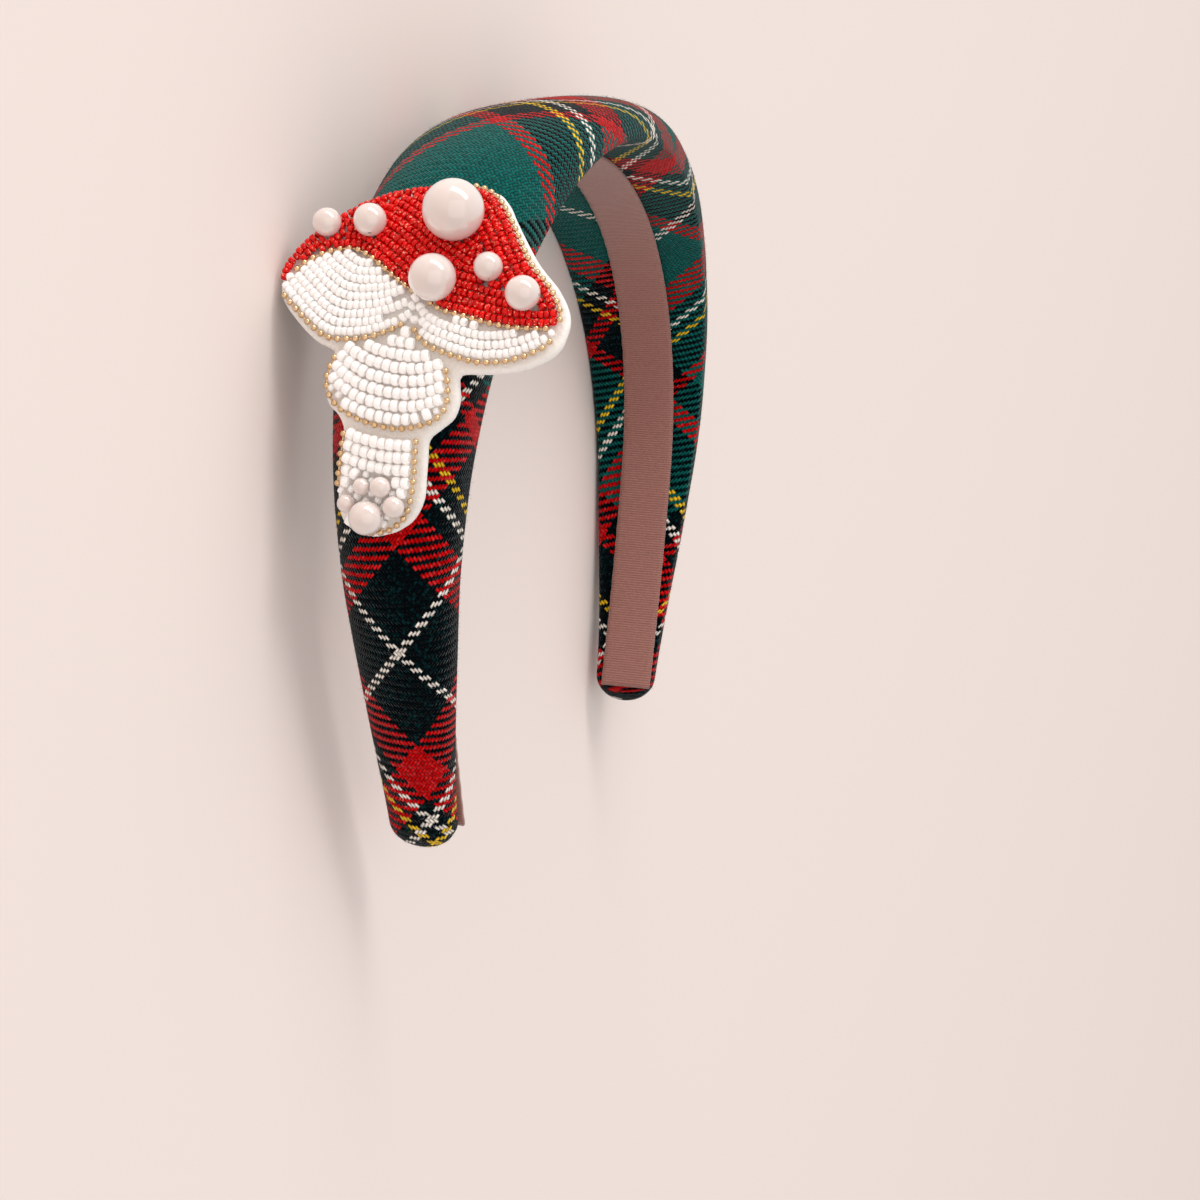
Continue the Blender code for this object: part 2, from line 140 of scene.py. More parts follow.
def on_hoop(along, back, out):
    """Place a point of a cross-section: back from its middle, out from the hoop."""
    point, outward = hoop(along)
    tilt = -CROWN_TILT * math.cos(0.5 * math.pi * along / HALF_LENGTH)
    turned_back = math.cos(tilt) * back - math.sin(tilt) * out
    turned_out = math.sin(tilt) * back + math.cos(tilt) * out
    return point + turned_out * outward + Vector((0.0, turned_back, 0.0))


# %% [markdown]
# The toadstool is laid out flat, in lengths towards the front and down from its top edge, and
# then wrapped over the padding. Its height is measured from the padding's top line.

# %% The toadstool's place on the band
TOADSTOOL_DISTANCE = 0.0575
TOADSTOOL_WIDTH = 0.056
TOADSTOOL_HEIGHT = 0.070
FELT_TOP = GAP + FELT_THICK
BEAD_FLOOR = FELT_TOP + GAP
LEAD = 0.020

backing_places = np.linspace(TOADSTOOL_DISTANCE - LEAD, HALF_LENGTH, 240)
backing_points = []
for place in backing_places:
    point, outward = hoop(place)
    backing_points.append(point + outward * (pad_height(place) + FELT_THICK))
backing_steps = [(b - a).length for a, b in zip(backing_points, backing_points[1:])]
backing_lengths = np.concatenate([[0.0], np.cumsum(backing_steps)])
backing_lengths -= np.interp(TOADSTOOL_DISTANCE, backing_places, backing_lengths)


def on_backing(front, down, height):
    """Bend a flat point round the arch, at a height above the padding's top line."""
    along = float(np.interp(down, backing_lengths, backing_places))
    point, outward = hoop(along)
    return point + outward * (pad_height(along) + height) + Vector((0.0, -front, 0.0))


# %% [markdown]
# A headband that is put down lies on its back edge, so the worn shape is turned onto it. The
# direction that then faces down is known from the solids. The largest pearl says where the
# turned shape belongs, and the other pearls show whether it fits.

# %% Lay the worn shape down as the frame does
FACING_DOWN = Vector((0.05405, 0.99586, -0.07307)).normalized()
LYING = Matrix(((0.0, 0.0, -1.0), (1.0, 0.0, 0.0), (0.0, -1.0, 0.0)))

# Pearls placed by themselves: name, diameter, shares of the toadstool's width and height
PEARLS = (
    ("cap_pearl_1", 0.0115, 0.170, 0.143),
    ("cap_pearl_2", 0.0088, 0.145, 0.323),
    ("cap_pearl_3", 0.0065, 0.455, 0.343),
    ("cap_pearl_4", 0.0062, -0.130, 0.160),
    ("cap_pearl_5", 0.0054, 0.316, 0.273),
    ("cap_pearl_6", 0.0054, -0.282, 0.170),
    ("stem_pearl_1", 0.0064, -0.016, 0.933),
)

# Pearls sewn beside another: name, diameter, neighbour, direction in degrees from the front
BESIDE_PEARLS = (
    ("stem_pearl_2", 0.0041, "stem_pearl_1", -24.0),
    ("stem_pearl_3", 0.0039, "stem_pearl_2", 232.0),
    ("stem_pearl_4", 0.0034, "stem_pearl_1", 206.0),
    ("stem_pearl_5", 0.0032, "stem_pearl_3", 178.0),
)

pearls = {}
for name, diameter, across, down in PEARLS:
    pearls[name] = (diameter, across * TOADSTOOL_WIDTH, down * TOADSTOOL_HEIGHT)
for name, diameter, neighbour, degrees in BESIDE_PEARLS:
    other, front, down = pearls[neighbour]
    apart = math.sqrt((0.5 * (diameter + other) + GAP) ** 2 - (0.5 * (diameter - other)) ** 2)
    front += apart * math.cos(math.radians(degrees))
    down += apart * math.sin(math.radians(degrees))
    pearls[name] = (diameter, front, down)


def worn_pearl(name):
    diameter, front, down = pearls[name]
    return on_backing(front, down, BEAD_FLOOR + 0.5 * diameter)


def node_centre(name):
    low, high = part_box(name)
    return 0.5 * (low + high)


turn = LYING @ FACING_DOWN.rotation_difference(Vector((0.0, 1.0, 0.0))).to_matrix()
shift = node_centre("cap_pearl_1") - turn @ worn_pearl("cap_pearl_1")
REST = Matrix.Translation(shift) @ turn.to_4x4()
misses = [(REST @ worn_pearl(name) - node_centre(name)).length for name in pearls]
print(f"pearls lie within {1000 * max(misses):.3f} mm of the frame's")

# %% [markdown]
# ## Camera
# The photograph looks at the wearer's right side from a little in front and above, through a
# long lens. The camera is given as it stands to the worn headband, and then turned with it, so
# the picture keeps the photograph's angle while the headband lies on its back edge.

# %% Camera
CAMERA_PLACE = Vector((-0.6308, -0.2190, 0.0480))
CAMERA_HEADING = math.radians(17.98)
CAMERA_DIP = math.radians(-12.19)
CAMERA_ROLL = math.radians(1.13)
LENS = 97.0

ahead = Vector((
    math.cos(CAMERA_DIP) * math.cos(CAMERA_HEADING),
    math.cos(CAMERA_DIP) * math.sin(CAMERA_HEADING),
    math.sin(CAMERA_DIP),
))
level = ahead.cross(Vector((0.0, 0.0, 1.0))).normalized()
upward = level.cross(ahead)
right = level * math.cos(CAMERA_ROLL) + upward * math.sin(CAMERA_ROLL)
top = upward * math.cos(CAMERA_ROLL) - level * math.sin(CAMERA_ROLL)
worn_view = Matrix((right, top, -ahead)).transposed().to_4x4()
bpy.ops.object.select_all(action="DESELECT")
bpy.ops.object.camera_add()
camera = bpy.context.active_object
camera.matrix_world = REST @ Matrix.Translation(CAMERA_PLACE) @ worn_view
camera.data.lens = LENS
camera.data.sensor_width = 36.0
camera.data.clip_start = 0.01
bpy.context.scene.camera = camera
print("camera stands", round(camera.location.z, 3), "m above the floor")

# %% [markdown]
# ## Studio
# The light is broad and soft, as beside a tall window: a wide lamp beyond the crown gives the
# pearls and beads their highlights, a weaker one fills the side that faces the camera, and the
# sky evens out the rest. The lamps stand far away, so the floor in view stays even. It is one
# pale sheet, wide enough to fill the view.

# %% Floor
FLOOR_SIZE = 14.0
bpy.ops.mesh.primitive_plane_add(size=FLOOR_SIZE)
floor = bpy.context.active_object
floor.name = "studio_floor"

# %% Lights and sky
middle = Vector((0.0, 0.0, 0.03))
SKY_COLOUR = (0.98, 0.94, 0.92, 1.0)
SKY_STRENGTH = 0.74

# Name, direction from the headband, distance, width, height, power in watts, colour
LAMPS = (
    ("window", Vector((-0.93, -0.05, 0.34)), 3.2, 0.9, 4.6, 88.0, (1.0, 0.975, 0.95)),
    ("fill", Vector((-0.10, -0.80, 0.60)), 4.0, 5.0, 5.0, 34.0, (1.0, 0.97, 0.95)),
)


def soft_light(name, direction, distance, width, height, power, colour):
    """Wide lamp that faces the headband from one direction."""
    bpy.ops.object.light_add(type="AREA", location=middle + direction.normalized() * distance)
    lamp = bpy.context.active_object
    lamp.name = name
    lamp.rotation_euler = (-direction).to_track_quat("-Z", "Y").to_euler()
    lamp.data.shape = "RECTANGLE"
    lamp.data.size = width
    lamp.data.size_y = height
    lamp.data.energy = power
    lamp.data.color = colour


for lamp_row in LAMPS:
    soft_light(*lamp_row)
sky = bpy.data.worlds.new("studio_sky")
sky.use_nodes = True
sky.node_tree.nodes["Background"].inputs["Color"].default_value = SKY_COLOUR
sky.node_tree.nodes["Background"].inputs["Strength"].default_value = SKY_STRENGTH
bpy.context.scene.world = sky
bpy.context.scene.view_settings.view_transform = "Standard"

# %% [markdown]
# ## Writing finishes as sums
# A finish is a small net of nodes. Wrapping a socket in a class that knows plus, minus and
# times lets the pattern be written as it is thought, as in `1 - gap * 0.5`.

# %% A finish and the values on it
class Value:
    """One number that varies over a surface."""

    def __init__(self, finish, socket):
        self.finish = finish
        self.socket = socket

    def __add__(self, other):
        return self.finish.math("ADD", self, other)

    def __radd__(self, other):
        return self.finish.math("ADD", other, self)

    def __sub__(self, other):
        return self.finish.math("SUBTRACT", self, other)

    def __rsub__(self, other):
        return self.finish.math("SUBTRACT", other, self)

    def __mul__(self, other):
        return self.finish.math("MULTIPLY", self, other)

    def __rmul__(self, other):
        return self.finish.math("MULTIPLY", other, self)

    def __truediv__(self, other):
        return self.finish.math("DIVIDE", self, other)

    def __pow__(self, other):
        return self.finish.math("POWER", self, other)

    def __lt__(self, other):
        return self.finish.math("LESS_THAN", self, other)

    def size(self):
        return self.finish.math("ABSOLUTE", self)

    def floor(self):
        return self.finish.math("FLOOR", self)

    def remainder(self):
        return self.finish.math("FRACT", self)


class Finish:
    """A material under construction."""

    def __init__(self, name):
        self.material = bpy.data.materials.new(name)
        self.material.use_nodes = True
        self.tree = self.material.node_tree
        self.shader = self.tree.nodes["Principled BSDF"]

    def node(self, kind, settings=None, inputs=None):
        """Add a node: its settings first, then the values or links of its sockets."""
        node = self.tree.nodes.new(kind)
        for key, value in (settings or {}).items():
            if key == "stops":
                self.set_stops(node.color_ramp, value)
            else:
                setattr(node, key, value)
        for key, value in (inputs or {}).items():
            self.feed(node.inputs[key], value)
        return node

    def set_stops(self, ramp, stops):
        ramp.interpolation = "CONSTANT"
        while len(ramp.elements) > 1:
            ramp.elements.remove(ramp.elements[-1])
        ramp.elements[0].position = stops[0][0]
        ramp.elements[0].color = (*stops[0][1], 1.0)
        for place, colour in stops[1:]:
            ramp.elements.new(place).color = (*colour, 1.0)

    def feed(self, socket, value):
        if isinstance(value, Value):
            value = value.socket
        if isinstance(value, bpy.types.NodeSocket):
            self.tree.links.new(value, socket)
        else:
            socket.default_value = value

    def math(self, operation, *terms):
        node = self.node("ShaderNodeMath", {"operation": operation}, dict(enumerate(terms)))
        return Value(self, node.outputs[0])

    def mix(self, share, first, second, how="MIX"):
        """Mix two colours; the share is how much of the second is seen."""
        settings = {"data_type": "RGBA", "blend_type": how}
        node = self.node("ShaderNodeMix", settings, {0: share, 6: first, 7: second})
        return node.outputs[2]

    def grey(self, value):
        """A value as a colour, for multiplying another colour with."""
        node = self.node("ShaderNodeCombineColor", None, {0: value, 1: value, 2: value})
        return node.outputs[0]

    def noise(self, place, scale, detail=2.0):
        inputs = {"Vector": place, "Scale": scale, "Detail": detail}
        return Value(self, self.node("ShaderNodeTexNoise", None, inputs).outputs["Fac"])

    def place(self):
        return self.node("ShaderNodeTexCoord").outputs["Object"]

    def shade(self, **sockets):
        """Set the main shader's own sockets, named with _ for each space."""
        for key, value in sockets.items():
            self.feed(self.shader.inputs[key.replace("_", " ")], value)

    def bump(self, height, depth):
        inputs = {"Height": height, "Distance": depth, "Strength": 1.0}
        self.shade(Normal=self.node("ShaderNodeBump", None, inputs).outputs[0])


# %% Floor finish
FLOOR_COLOUR = (0.84, 0.75, 0.71, 1.0)
paper = Finish("pale_paper")
paper.shade(Base_Color=FLOOR_COLOUR, Roughness=0.9)
floor.data.materials.append(paper.material)

# %% [markdown]
# ## Tartan wool
# Tartan is a twill in which warp and weft repeat the same list of stripes, and each thread goes
# over two and under two. The cover is cut on the bias, so both sets of threads cross the band
# at a slant. The cover carries a map that counts threads instead of metres: its first number
# counts warp threads and its second weft threads. A thread's colour is then a look-up in the
# stripe list, and which thread lies on top is simple counting.

# %% The stripe list
YARN = {
    "green": (0.004, 0.108, 0.096),
    # Beside the white cross on the side, the dark yarn is painted shade on green.
    "dark": (0.0005, 0.0028, 0.0046),
    "red": (0.56, 0.001, 0.003),
    "navy": (0.0008, 0.0040, 0.0060),
    "white": (0.80, 0.75, 0.68),
    "yellow": (0.78, 0.50, 0.02),
}

# Yarn and number of threads, from the middle of a white line beyond the crown to the tip
# The two stripes of 22 dark threads beside the white cross on the side are the same green 22 as
# beyond the crown, drawn nearly black: painted shade.
STRIPES = (
    ("white", 2), ("green", 22), ("red", 14), ("navy", 4), ("white", 4), ("navy", 3),
    ("yellow", 4), ("navy", 14), ("red", 6), ("green", 46), ("dark", 10), ("red", 6),
    ("navy", 14), ("yellow", 4), ("navy", 3), ("white", 4), ("navy", 4), ("red", 14), ("dark", 22),
    ("white", 4), ("dark", 22), ("red", 14), ("navy", 4), ("white", 4), ("navy", 3),
    ("yellow", 4), ("navy", 14), ("red", 6), ("green", 29),
)
THREADS = sum(count for yarn, count in STRIPES)
SIDE_CROSS = 202

stripe_stops = []
counted = 0
for yarn, count in STRIPES:
    stripe_stops.append((counted / THREADS, YARN[yarn]))
    counted += count
print("threads in the stripe list:", THREADS)

# %% [markdown]
# The cloth is pulled round a curved form, so the threads aren't evenly spaced. Two tables say
# which thread lies where along the padding's top line, and the slant eases near the crown.

# %% Which threads pass where
# Length from the crown in metres, and the warp thread counted from the white cross on the side
WARP = ((-0.0332, -202), (0.0303, -132), (0.1061, -51), (0.1553, 0), (0.1735, 24), (0.1969, 51))

# The same for the weft
WEFT = ((-0.0250, -202), (0.0393, -132), (0.1024, -70), (0.1595, 0), (0.1805, 24), (0.2058, 51))

# Length from the crown, and how far a thread runs along while it crosses the band
WARP_SLANT = ((0.0, 0.80), (0.05, 0.88), (0.11, 1.18), (0.20, 1.18))
WEFT_SLANT = ((0.0, 1.35), (0.05, 1.35), (0.11, 1.22), (0.20, 1.20))


def thread_at(table, length):
    """Thread that crosses the top line at a length, counted on evenly past the table's ends."""
    first, second = table[0], table[1]
    last, before = table[-1], table[-2]
    if length < first[0]:
        rate = (second[1] - first[1]) / (second[0] - first[0])
        return first[1] + (length - first[0]) * rate
    if length > last[0]:
        rate = (last[1] - before[1]) / (last[0] - before[0])
        return last[1] + (length - last[0]) * rate
    rows = len(table)
    i = max(k for k in range(rows - 1) if table[k][0] <= length)
    slope = [
        (table[k + 1][1] - table[k][1]) / (table[k + 1][0] - table[k][0]) for k in range(rows - 1)
    ]
    here = 0.5 * (slope[max(i - 1, 0)] + slope[i])
    there = 0.5 * (slope[i] + slope[min(i + 1, rows - 2)])
    span = table[i + 1][0] - table[i][0]
    share = (length - table[i][0]) / span
    return blend(table[i][1], here * span, table[i + 1][1], there * span, share)


def threads(length, across):
    """Warp and weft thread at a place on the cloth; across is positive to the front."""
    side = max(length, 0.0)
    warp = thread_at(WARP, length - read_table(WARP_SLANT, side) * across)
    weft = thread_at(WEFT, length + read_table(WEFT_SLANT, side) * across)
    return warp, weft


print("threads at the side's white cross:", threads(0.157, 0.0015))

# %% [markdown]
# ## The padded cover
# The real cover is one strip of wool wrapped round foam and hoop, with its raw edges turned
# under the ribbon inside. So it starts as a flat grid, one edge meets the other under the
# hoop, and the two edges are sewn together by merging their doubles. Each point is pulled to
# its place on the section as a hand pulls cloth over foam; a little unevenness keeps the
# surface from looking turned on a lathe. Such a tight cover has no folds, so a cloth simulation
# is expected to give nearly the same shape. It wasn't tried.

# %% Places of the cover's rows
ROWS = 400
TIP_ROWS = 9
AROUND = 72
straight = HALF_LENGTH - TIP_ROUND
stations = [straight * (2.0 * i / ROWS - 1.0) for i in range(ROWS + 1)]
for k in range(1, TIP_ROWS + 1):
    end = HALF_LENGTH - TIP_ROUND * (1.0 - math.sin(0.5 * math.pi * k / TIP_ROWS))
    stations = [-end] + stations + [end]


def tip_factor(along):
    """Share of the full section that is left at the rounded tips."""
    inside = min((HALF_LENGTH - abs(along)) / TIP_ROUND, 1.0)
    return math.sqrt(max(1.0 - (1.0 - inside) ** 2, 0.0))


def cover_point(along, share):
    """Point on the cover; the share goes once round, from the middle of the inner face."""
    phi = 2.0 * math.pi * share - 0.5 * math.pi
    left = tip_factor(along)
    lift = abs(math.sin(phi))
    back = 0.5 * band_width(along) * left * math.cos(phi)
    if math.sin(phi) >= 0.0:
        out = pad_height(along) * left * lift ** 0.8
    else:
        out = -PAD_UNDER * left * lift ** 0.5
    return on_hoop(along, back, out)


rings = [[cover_point(along, j / AROUND) for j in range(AROUND + 1)] for along in stations]
print("cover has", len(rings), "rows of", AROUND)

# %% Wrap the strip
WAVE = 0.00012
WAVE_SIZE = 0.016
bpy.ops.object.select_all(action="DESELECT")
bpy.ops.mesh.primitive_grid_add(x_subdivisions=len(rings) - 1, y_subdivisions=AROUND, size=1.0)
cover = bpy.context.active_object
cover.name = "tartan_cover"
cells = []
for vert in cover.data.vertices:
    i = round((vert.co.x + 0.5) * (len(rings) - 1))
    j = round((vert.co.y + 0.5) * AROUND)
    cells.append((i, j))
for vert, (i, j) in zip(cover.data.vertices, cells):
    point = rings[i][j]
    away = (point - hoop(stations[i])[0]).normalized()
    pull = noise.noise(point / WAVE_SIZE) * WAVE * tip_factor(stations[i])
    vert.co = point + away * pull * (0.0 if j in (0, AROUND) else 1.0)

# %% Count the threads on the cover
top_line = [0.0]
for ring, after in zip(rings, rings[1:]):
    top_line.append(top_line[-1] + (after[AROUND // 2] - ring[AROUND // 2]).length)
crown_length = float(np.interp(0.0, stations, top_line))
top_line = [length - crown_length for length in top_line]
across_lines = []
for ring in rings:
    line = [0.0]
    for point, after in zip(ring, ring[1:]):
        line.append(line[-1] + (after - point).length)
    across_lines.append([length - line[AROUND // 2] for length in line])

thread_map = cover.data.uv_layers.active
thread_map.name = "threads"
for loop in cover.data.loops:
    i, j = cells[loop.vertex_index]
    thread_map.data[loop.index].uv = threads(top_line[i], across_lines[i][j])
print("top line is", round(1000 * (top_line[-1] - top_line[0])), "mm long")

# %% Sew the edges together
bpy.ops.object.mode_set(mode="EDIT")
bpy.ops.mesh.select_all(action="SELECT")
bpy.ops.mesh.remove_doubles(threshold=1e-5)
bpy.ops.mesh.normals_make_consistent(inside=False)
bpy.ops.object.mode_set(mode="OBJECT")
bpy.ops.object.shade_smooth()
cover.data.transform(REST)
print("cover:", len(cover.data.polygons), "faces")

# %% [markdown]
# The yarn pattern works in thread counts. A float is the stretch where a thread lies on top of two
# others; it is highest in its middle and dips at both ends and along both sides. Its height raises
# the bump, and it also darkens the colour where the float dips, which is painted shade.

# %% Tartan finish
WANDER_SCALE = 0.55
WANDER = 0.5
WARP_DRAW = 87.5
WEFT_DRAW = 431.5
FLOAT_ROUND = 0.85
FLOAT_DIP = 0.65
WEAVE_DEPTH = 0.00022
BLACK = (0.0, 0.0, 0.0, 1.0)
TEAL_SPECK = (0.0, 0.022, 0.026, 1.0)
wool = Finish("tartan_twill")
uv = wool.node("ShaderNodeUVMap", {"uv_map": "threads"}).outputs[0]
wander = wool.node(
    "ShaderNodeTexNoise", None, {"Vector": uv, "Scale": WANDER_SCALE, "Detail": 1.0}
)
wander = wool.node(
    "ShaderNodeVectorMath", {"operation": "MULTIPLY_ADD"},
    {
        0: wander.outputs["Color"],
        1: (WANDER, WANDER, 0.0),
        2: (-0.5 * WANDER, -0.5 * WANDER, 0.0),
    },
).outputs[0]
yarn_place = wool.node(
    "ShaderNodeVectorMath", {"operation": "ADD"}, {0: uv, 1: wander}
).outputs[0]
parts = wool.node("ShaderNodeSeparateXYZ", None, {0: yarn_place})
warp = Value(wool, parts.outputs[0])
weft = Value(wool, parts.outputs[1])
warp_number = warp.floor()
weft_number = weft.floor()
warp_on_top = ((warp_number + weft_number) / 4.0).remainder() < 0.5


def stripe_colour(number, seed):
    """Colour of a thread, from the stripe list, which turns back beyond the crown."""
    counted = (number + (0.5 + SIDE_CROSS)).size()
    ramp = wool.node("ShaderNodeValToRGB", {"stops": stripe_stops}, {0: counted / THREADS})
    draw = wool.node("ShaderNodeTexWhiteNoise", {"noise_dimensions": "1D"}, {"W": number + seed})
    tone = 0.86 + Value(wool, draw.outputs["Value"]) * 0.28
    return wool.mix(1.0, ramp.outputs[0], wool.grey(tone), "MULTIPLY")


def float_height(side, run):
    """Height of a float: side goes across the thread and run along it, both from 0 to 1."""
    across = 1.0 - (side * 2.0 - 1.0) ** 2.0 * FLOAT_ROUND
    lengthways = 1.0 - ((run * 2.0 - 1.0).size() ** 3.0) * FLOAT_DIP
    return across * lengthways


warp_run = ((warp_number + weft) / 4.0).remainder() * 2.0
weft_run = ((warp + weft_number) / 4.0).remainder() * 2.0 - 1.0
warp_height = float_height(warp.remainder(), warp_run)
weft_height = float_height(weft.remainder(), weft_run)
height = warp_on_top * warp_height + (1.0 - warp_on_top) * weft_height
weft_colour = stripe_colour(weft_number, WEFT_DRAW)
warp_colour = stripe_colour(warp_number, WARP_DRAW)
top_colour = wool.mix(warp_on_top, weft_colour, warp_colour)
crossing = wool.node("ShaderNodeVectorMath", {"operation": "FLOOR"}, {0: yarn_place}).outputs[0]
draw = wool.node("ShaderNodeTexWhiteNoise", {"noise_dimensions": "2D"}, {"Vector": crossing})
speck = Value(wool, draw.outputs["Value"])
teal_speck = wool.mix(speck ** 4.0, BLACK, TEAL_SPECK)
top_colour = wool.mix(1.0, top_colour, teal_speck, "LIGHTEN")
fibres = wool.noise(wool.place(), 4200.0, 3.0)
# The colour is darkened where each float dips, along its sides and at its ends between the
# threads: painted shade, on top of the bump that the same height gives.
tone = (0.22 + height * 0.95) * (0.62 + fibres * 0.76) * (0.82 + speck * 0.36)
wool.shade(
    Base_Color=wool.mix(1.0, top_colour, wool.grey(tone), "MULTIPLY"),
    Roughness=0.9,
    Specular_IOR_Level=0.02,
    Sheen_Weight=0.20,
    Sheen_Roughness=0.28,
)
wool.bump(height + fibres * 0.35, WEAVE_DEPTH)
cover.data.materials.append(wool.material)
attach(cover, "root")
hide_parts("band")
print("tartan has", len(wool.tree.nodes), "nodes")

# %% [markdown]
# ## Wool fuzz
# Wool cloth isn't smooth: short fibre ends stand up from it and catch the light along its
# outline. Each fibre is a thin curved blade rooted on the cover, and takes the colour of the
# thread that it grows from, because it carries the same place on the thread map.

# %% Fuzz
FIBRES = 22000
FIBRE_WIDTH = 0.000024
FIBRE_SHORT = 0.0003
FIBRE_LONG = 0.0009
fibre_points = []
fibre_faces = []
fibre_threads = []
last_row = len(rings) - 2
for n in range(FIBRES):
    i = random.randint(2, last_row - 2)
    j = random.randint(int(0.20 * AROUND), int(0.80 * AROUND))
    root = rings[i][j].copy()
    along_way = (rings[i + 1][j] - root).normalized()
    across_way = (rings[i][j + 1] - root).normalized()
    normal = along_way.cross(across_way).normalized()
    if normal.dot(root - hoop(stations[i])[0]) < 0.0:
        normal.negate()
    root += (rings[i + 1][j] - root) * random.random()
    lean = along_way * random.gauss(0.0, 1.0) + across_way * random.gauss(0.0, 1.0)
    lean = lean.normalized()
    length = random.uniform(FIBRE_SHORT, FIBRE_LONG) * (2.0 if n % 40 == 0 else 1.0)
    middle_point = root + (normal * 0.55 + lean * 0.5) * length * 0.5
    tip = root + (normal * 0.50 + lean * 0.9) * length
    side = lean.cross(normal).normalized() * 0.5 * FIBRE_WIDTH
    first = len(fibre_points)
    fibre_points += [root - side, root + side, middle_point - side, middle_point + side, tip]
    fibre_faces += [
        (first, first + 1, first + 3, first + 2), (first + 2, first + 3, first + 4)
    ]
    fibre_threads += [threads(top_line[i], across_lines[i][j])] * 7
fuzz_mesh = bpy.data.meshes.new("wool_fuzz")
fuzz_mesh.from_pydata(fibre_points, [], fibre_faces)
fuzz = bpy.data.objects.new("wool_fuzz", fuzz_mesh)
bpy.context.scene.collection.objects.link(fuzz)
fuzz_map = fuzz_mesh.uv_layers.new(name="threads")
fuzz_map.data.foreach_set("uv", np.array(fibre_threads, dtype=np.float32).ravel())
fuzz_mesh.transform(REST)
fuzz_mesh.materials.append(wool.material)
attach(fuzz, "root")
print("fibres:", FIBRES)

# %% [markdown]
# ## Ribbon
# A soft pink ribbon covers the join on the inner face, sewn a little nearer the front edge, so
# it peeks out at the tip. It is a flat strip laid along the hoop, drawn in slightly where the
# stitches hold its edges, and given its thickness at the end. It keeps one depth under the hoop
# while the cover rounds away from it, so it stands off the cover, most of all near the tips.

# %% Ribbon lining
RIBBON_WIDTH = 0.0115
RIBBON_LENGTH = 2.0 * (HALF_LENGTH - 0.0030)
RIBBON_SHIFT = 0.0012
RIBBON_DEPTH = PAD_UNDER + 0.0009
RIBBON_THICK = 0.0007
RIBBON_STEPS = 360
RIBBON_CELLS = 12
PUCKER_STEP = 0.0006
PUCKER_LIFT = 0.00005
PUCKER_PULL = 0.00008
EDGE_LIFT = 0.00025
bpy.ops.object.select_all(action="DESELECT")
bpy.ops.mesh.primitive_grid_add(x_subdivisions=RIBBON_STEPS, y_subdivisions=RIBBON_CELLS, size=1.0)
ribbon = bpy.context.active_object
ribbon.name = "ribbon_lining"
ribbon_map = ribbon.data.uv_layers.active
ribbon_map.name = "ribbon"
for loop in ribbon.data.loops:
    flat = ribbon.data.vertices[loop.vertex_index].co
    ribbon_map.data[loop.index].uv = (flat.x * RIBBON_LENGTH, flat.y * RIBBON_WIDTH)
for vert in ribbon.data.vertices:
    along = vert.co.x * RIBBON_LENGTH
    edge = abs(2.0 * vert.co.y)
    pucker = math.sin(along / PUCKER_STEP + 2.5 * noise.noise(Vector((along / 0.01, 0.0, 0.0))))
    out = -RIBBON_DEPTH + PUCKER_LIFT * pucker * edge ** 3 + EDGE_LIFT * edge ** 4
    back = vert.co.y * (RIBBON_WIDTH - PUCKER_PULL * pucker * edge ** 3) - RIBBON_SHIFT
    vert.co = on_hoop(along, back, out)
solid = ribbon.modifiers.new("thickness", "SOLIDIFY")
solid.thickness = RIBBON_THICK
solid.offset = 0.0
bpy.ops.object.modifier_apply(modifier="thickness")
bpy.ops.object.shade_smooth()
ribbon.data.transform(REST)

RIB = 0.00055
RIBBON_DEEP = (0.26, 0.095, 0.075, 1.0)
RIBBON_PALE = (0.47, 0.22, 0.18, 1.0)
satin = Finish("pink_ribbon")
ribbon_uv = satin.node("ShaderNodeUVMap", {"uv_map": "ribbon"}).outputs[0]
ribs = satin.node("ShaderNodeSeparateXYZ", None, {0: ribbon_uv})
rib = (Value(satin, ribs.outputs[0]) / RIB).remainder()
rib_height = 1.0 - (rib * 2.0 - 1.0) ** 2.0
nap = satin.noise(satin.place(), 2600.0, 3.0)
pink = satin.mix(nap, RIBBON_DEEP, RIBBON_PALE)
# The pink is darkened in the grooves between the ribs: painted shade, beside the ribs' bump.
satin.shade(
    Base_Color=satin.mix(1.0, pink, satin.grey(0.65 + rib_height * 0.35), "MULTIPLY"),
    Roughness=0.75,
    Sheen_Weight=0.5,
    Sheen_Roughness=0.4,
)
satin.bump(rib_height + nap * 0.5, 0.00012)
ribbon.data.materials.append(satin.material)
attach(ribbon, "root")
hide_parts("lining")
print("ribbon is", round(1000 * RIBBON_LENGTH), "mm long")

# %% [markdown]
# ## Outlines of the toadstool
# The toadstool is drawn by a few points on each line, as shares of its width towards the front
# and of its height down, and smooth curves join them. The same lines carry the felt's edge,
# the gold chain and the rows of beads.

# %% The lines
CAP_EDGE = (
    (-0.402, 0.345), (-0.41, 0.305), (-0.385, 0.252), (-0.335, 0.195), (-0.245, 0.12),
    (-0.125, 0.053), (0.0, 0.02), (0.16, 0.005), (0.26, 0.037), (0.346, 0.123), (0.443, 0.24),
    (0.53, 0.311), (0.579, 0.375), (0.575, 0.413),
)
LEFT_GILL_TOP = (
    (-0.402, 0.345), (-0.375, 0.312), (-0.33, 0.272), (-0.26, 0.24), (-0.19, 0.228),
    (-0.14, 0.237), (-0.07, 0.27), (-0.01, 0.304), (0.05, 0.334), (0.098, 0.354),
)
LEFT_GILL_FOOT = (
    (-0.402, 0.345), (-0.385, 0.372), (-0.32, 0.417), (-0.257, 0.457), (-0.198, 0.479),
    (-0.12, 0.477), (-0.06, 0.468), (0.016, 0.444), (0.07, 0.416),
)
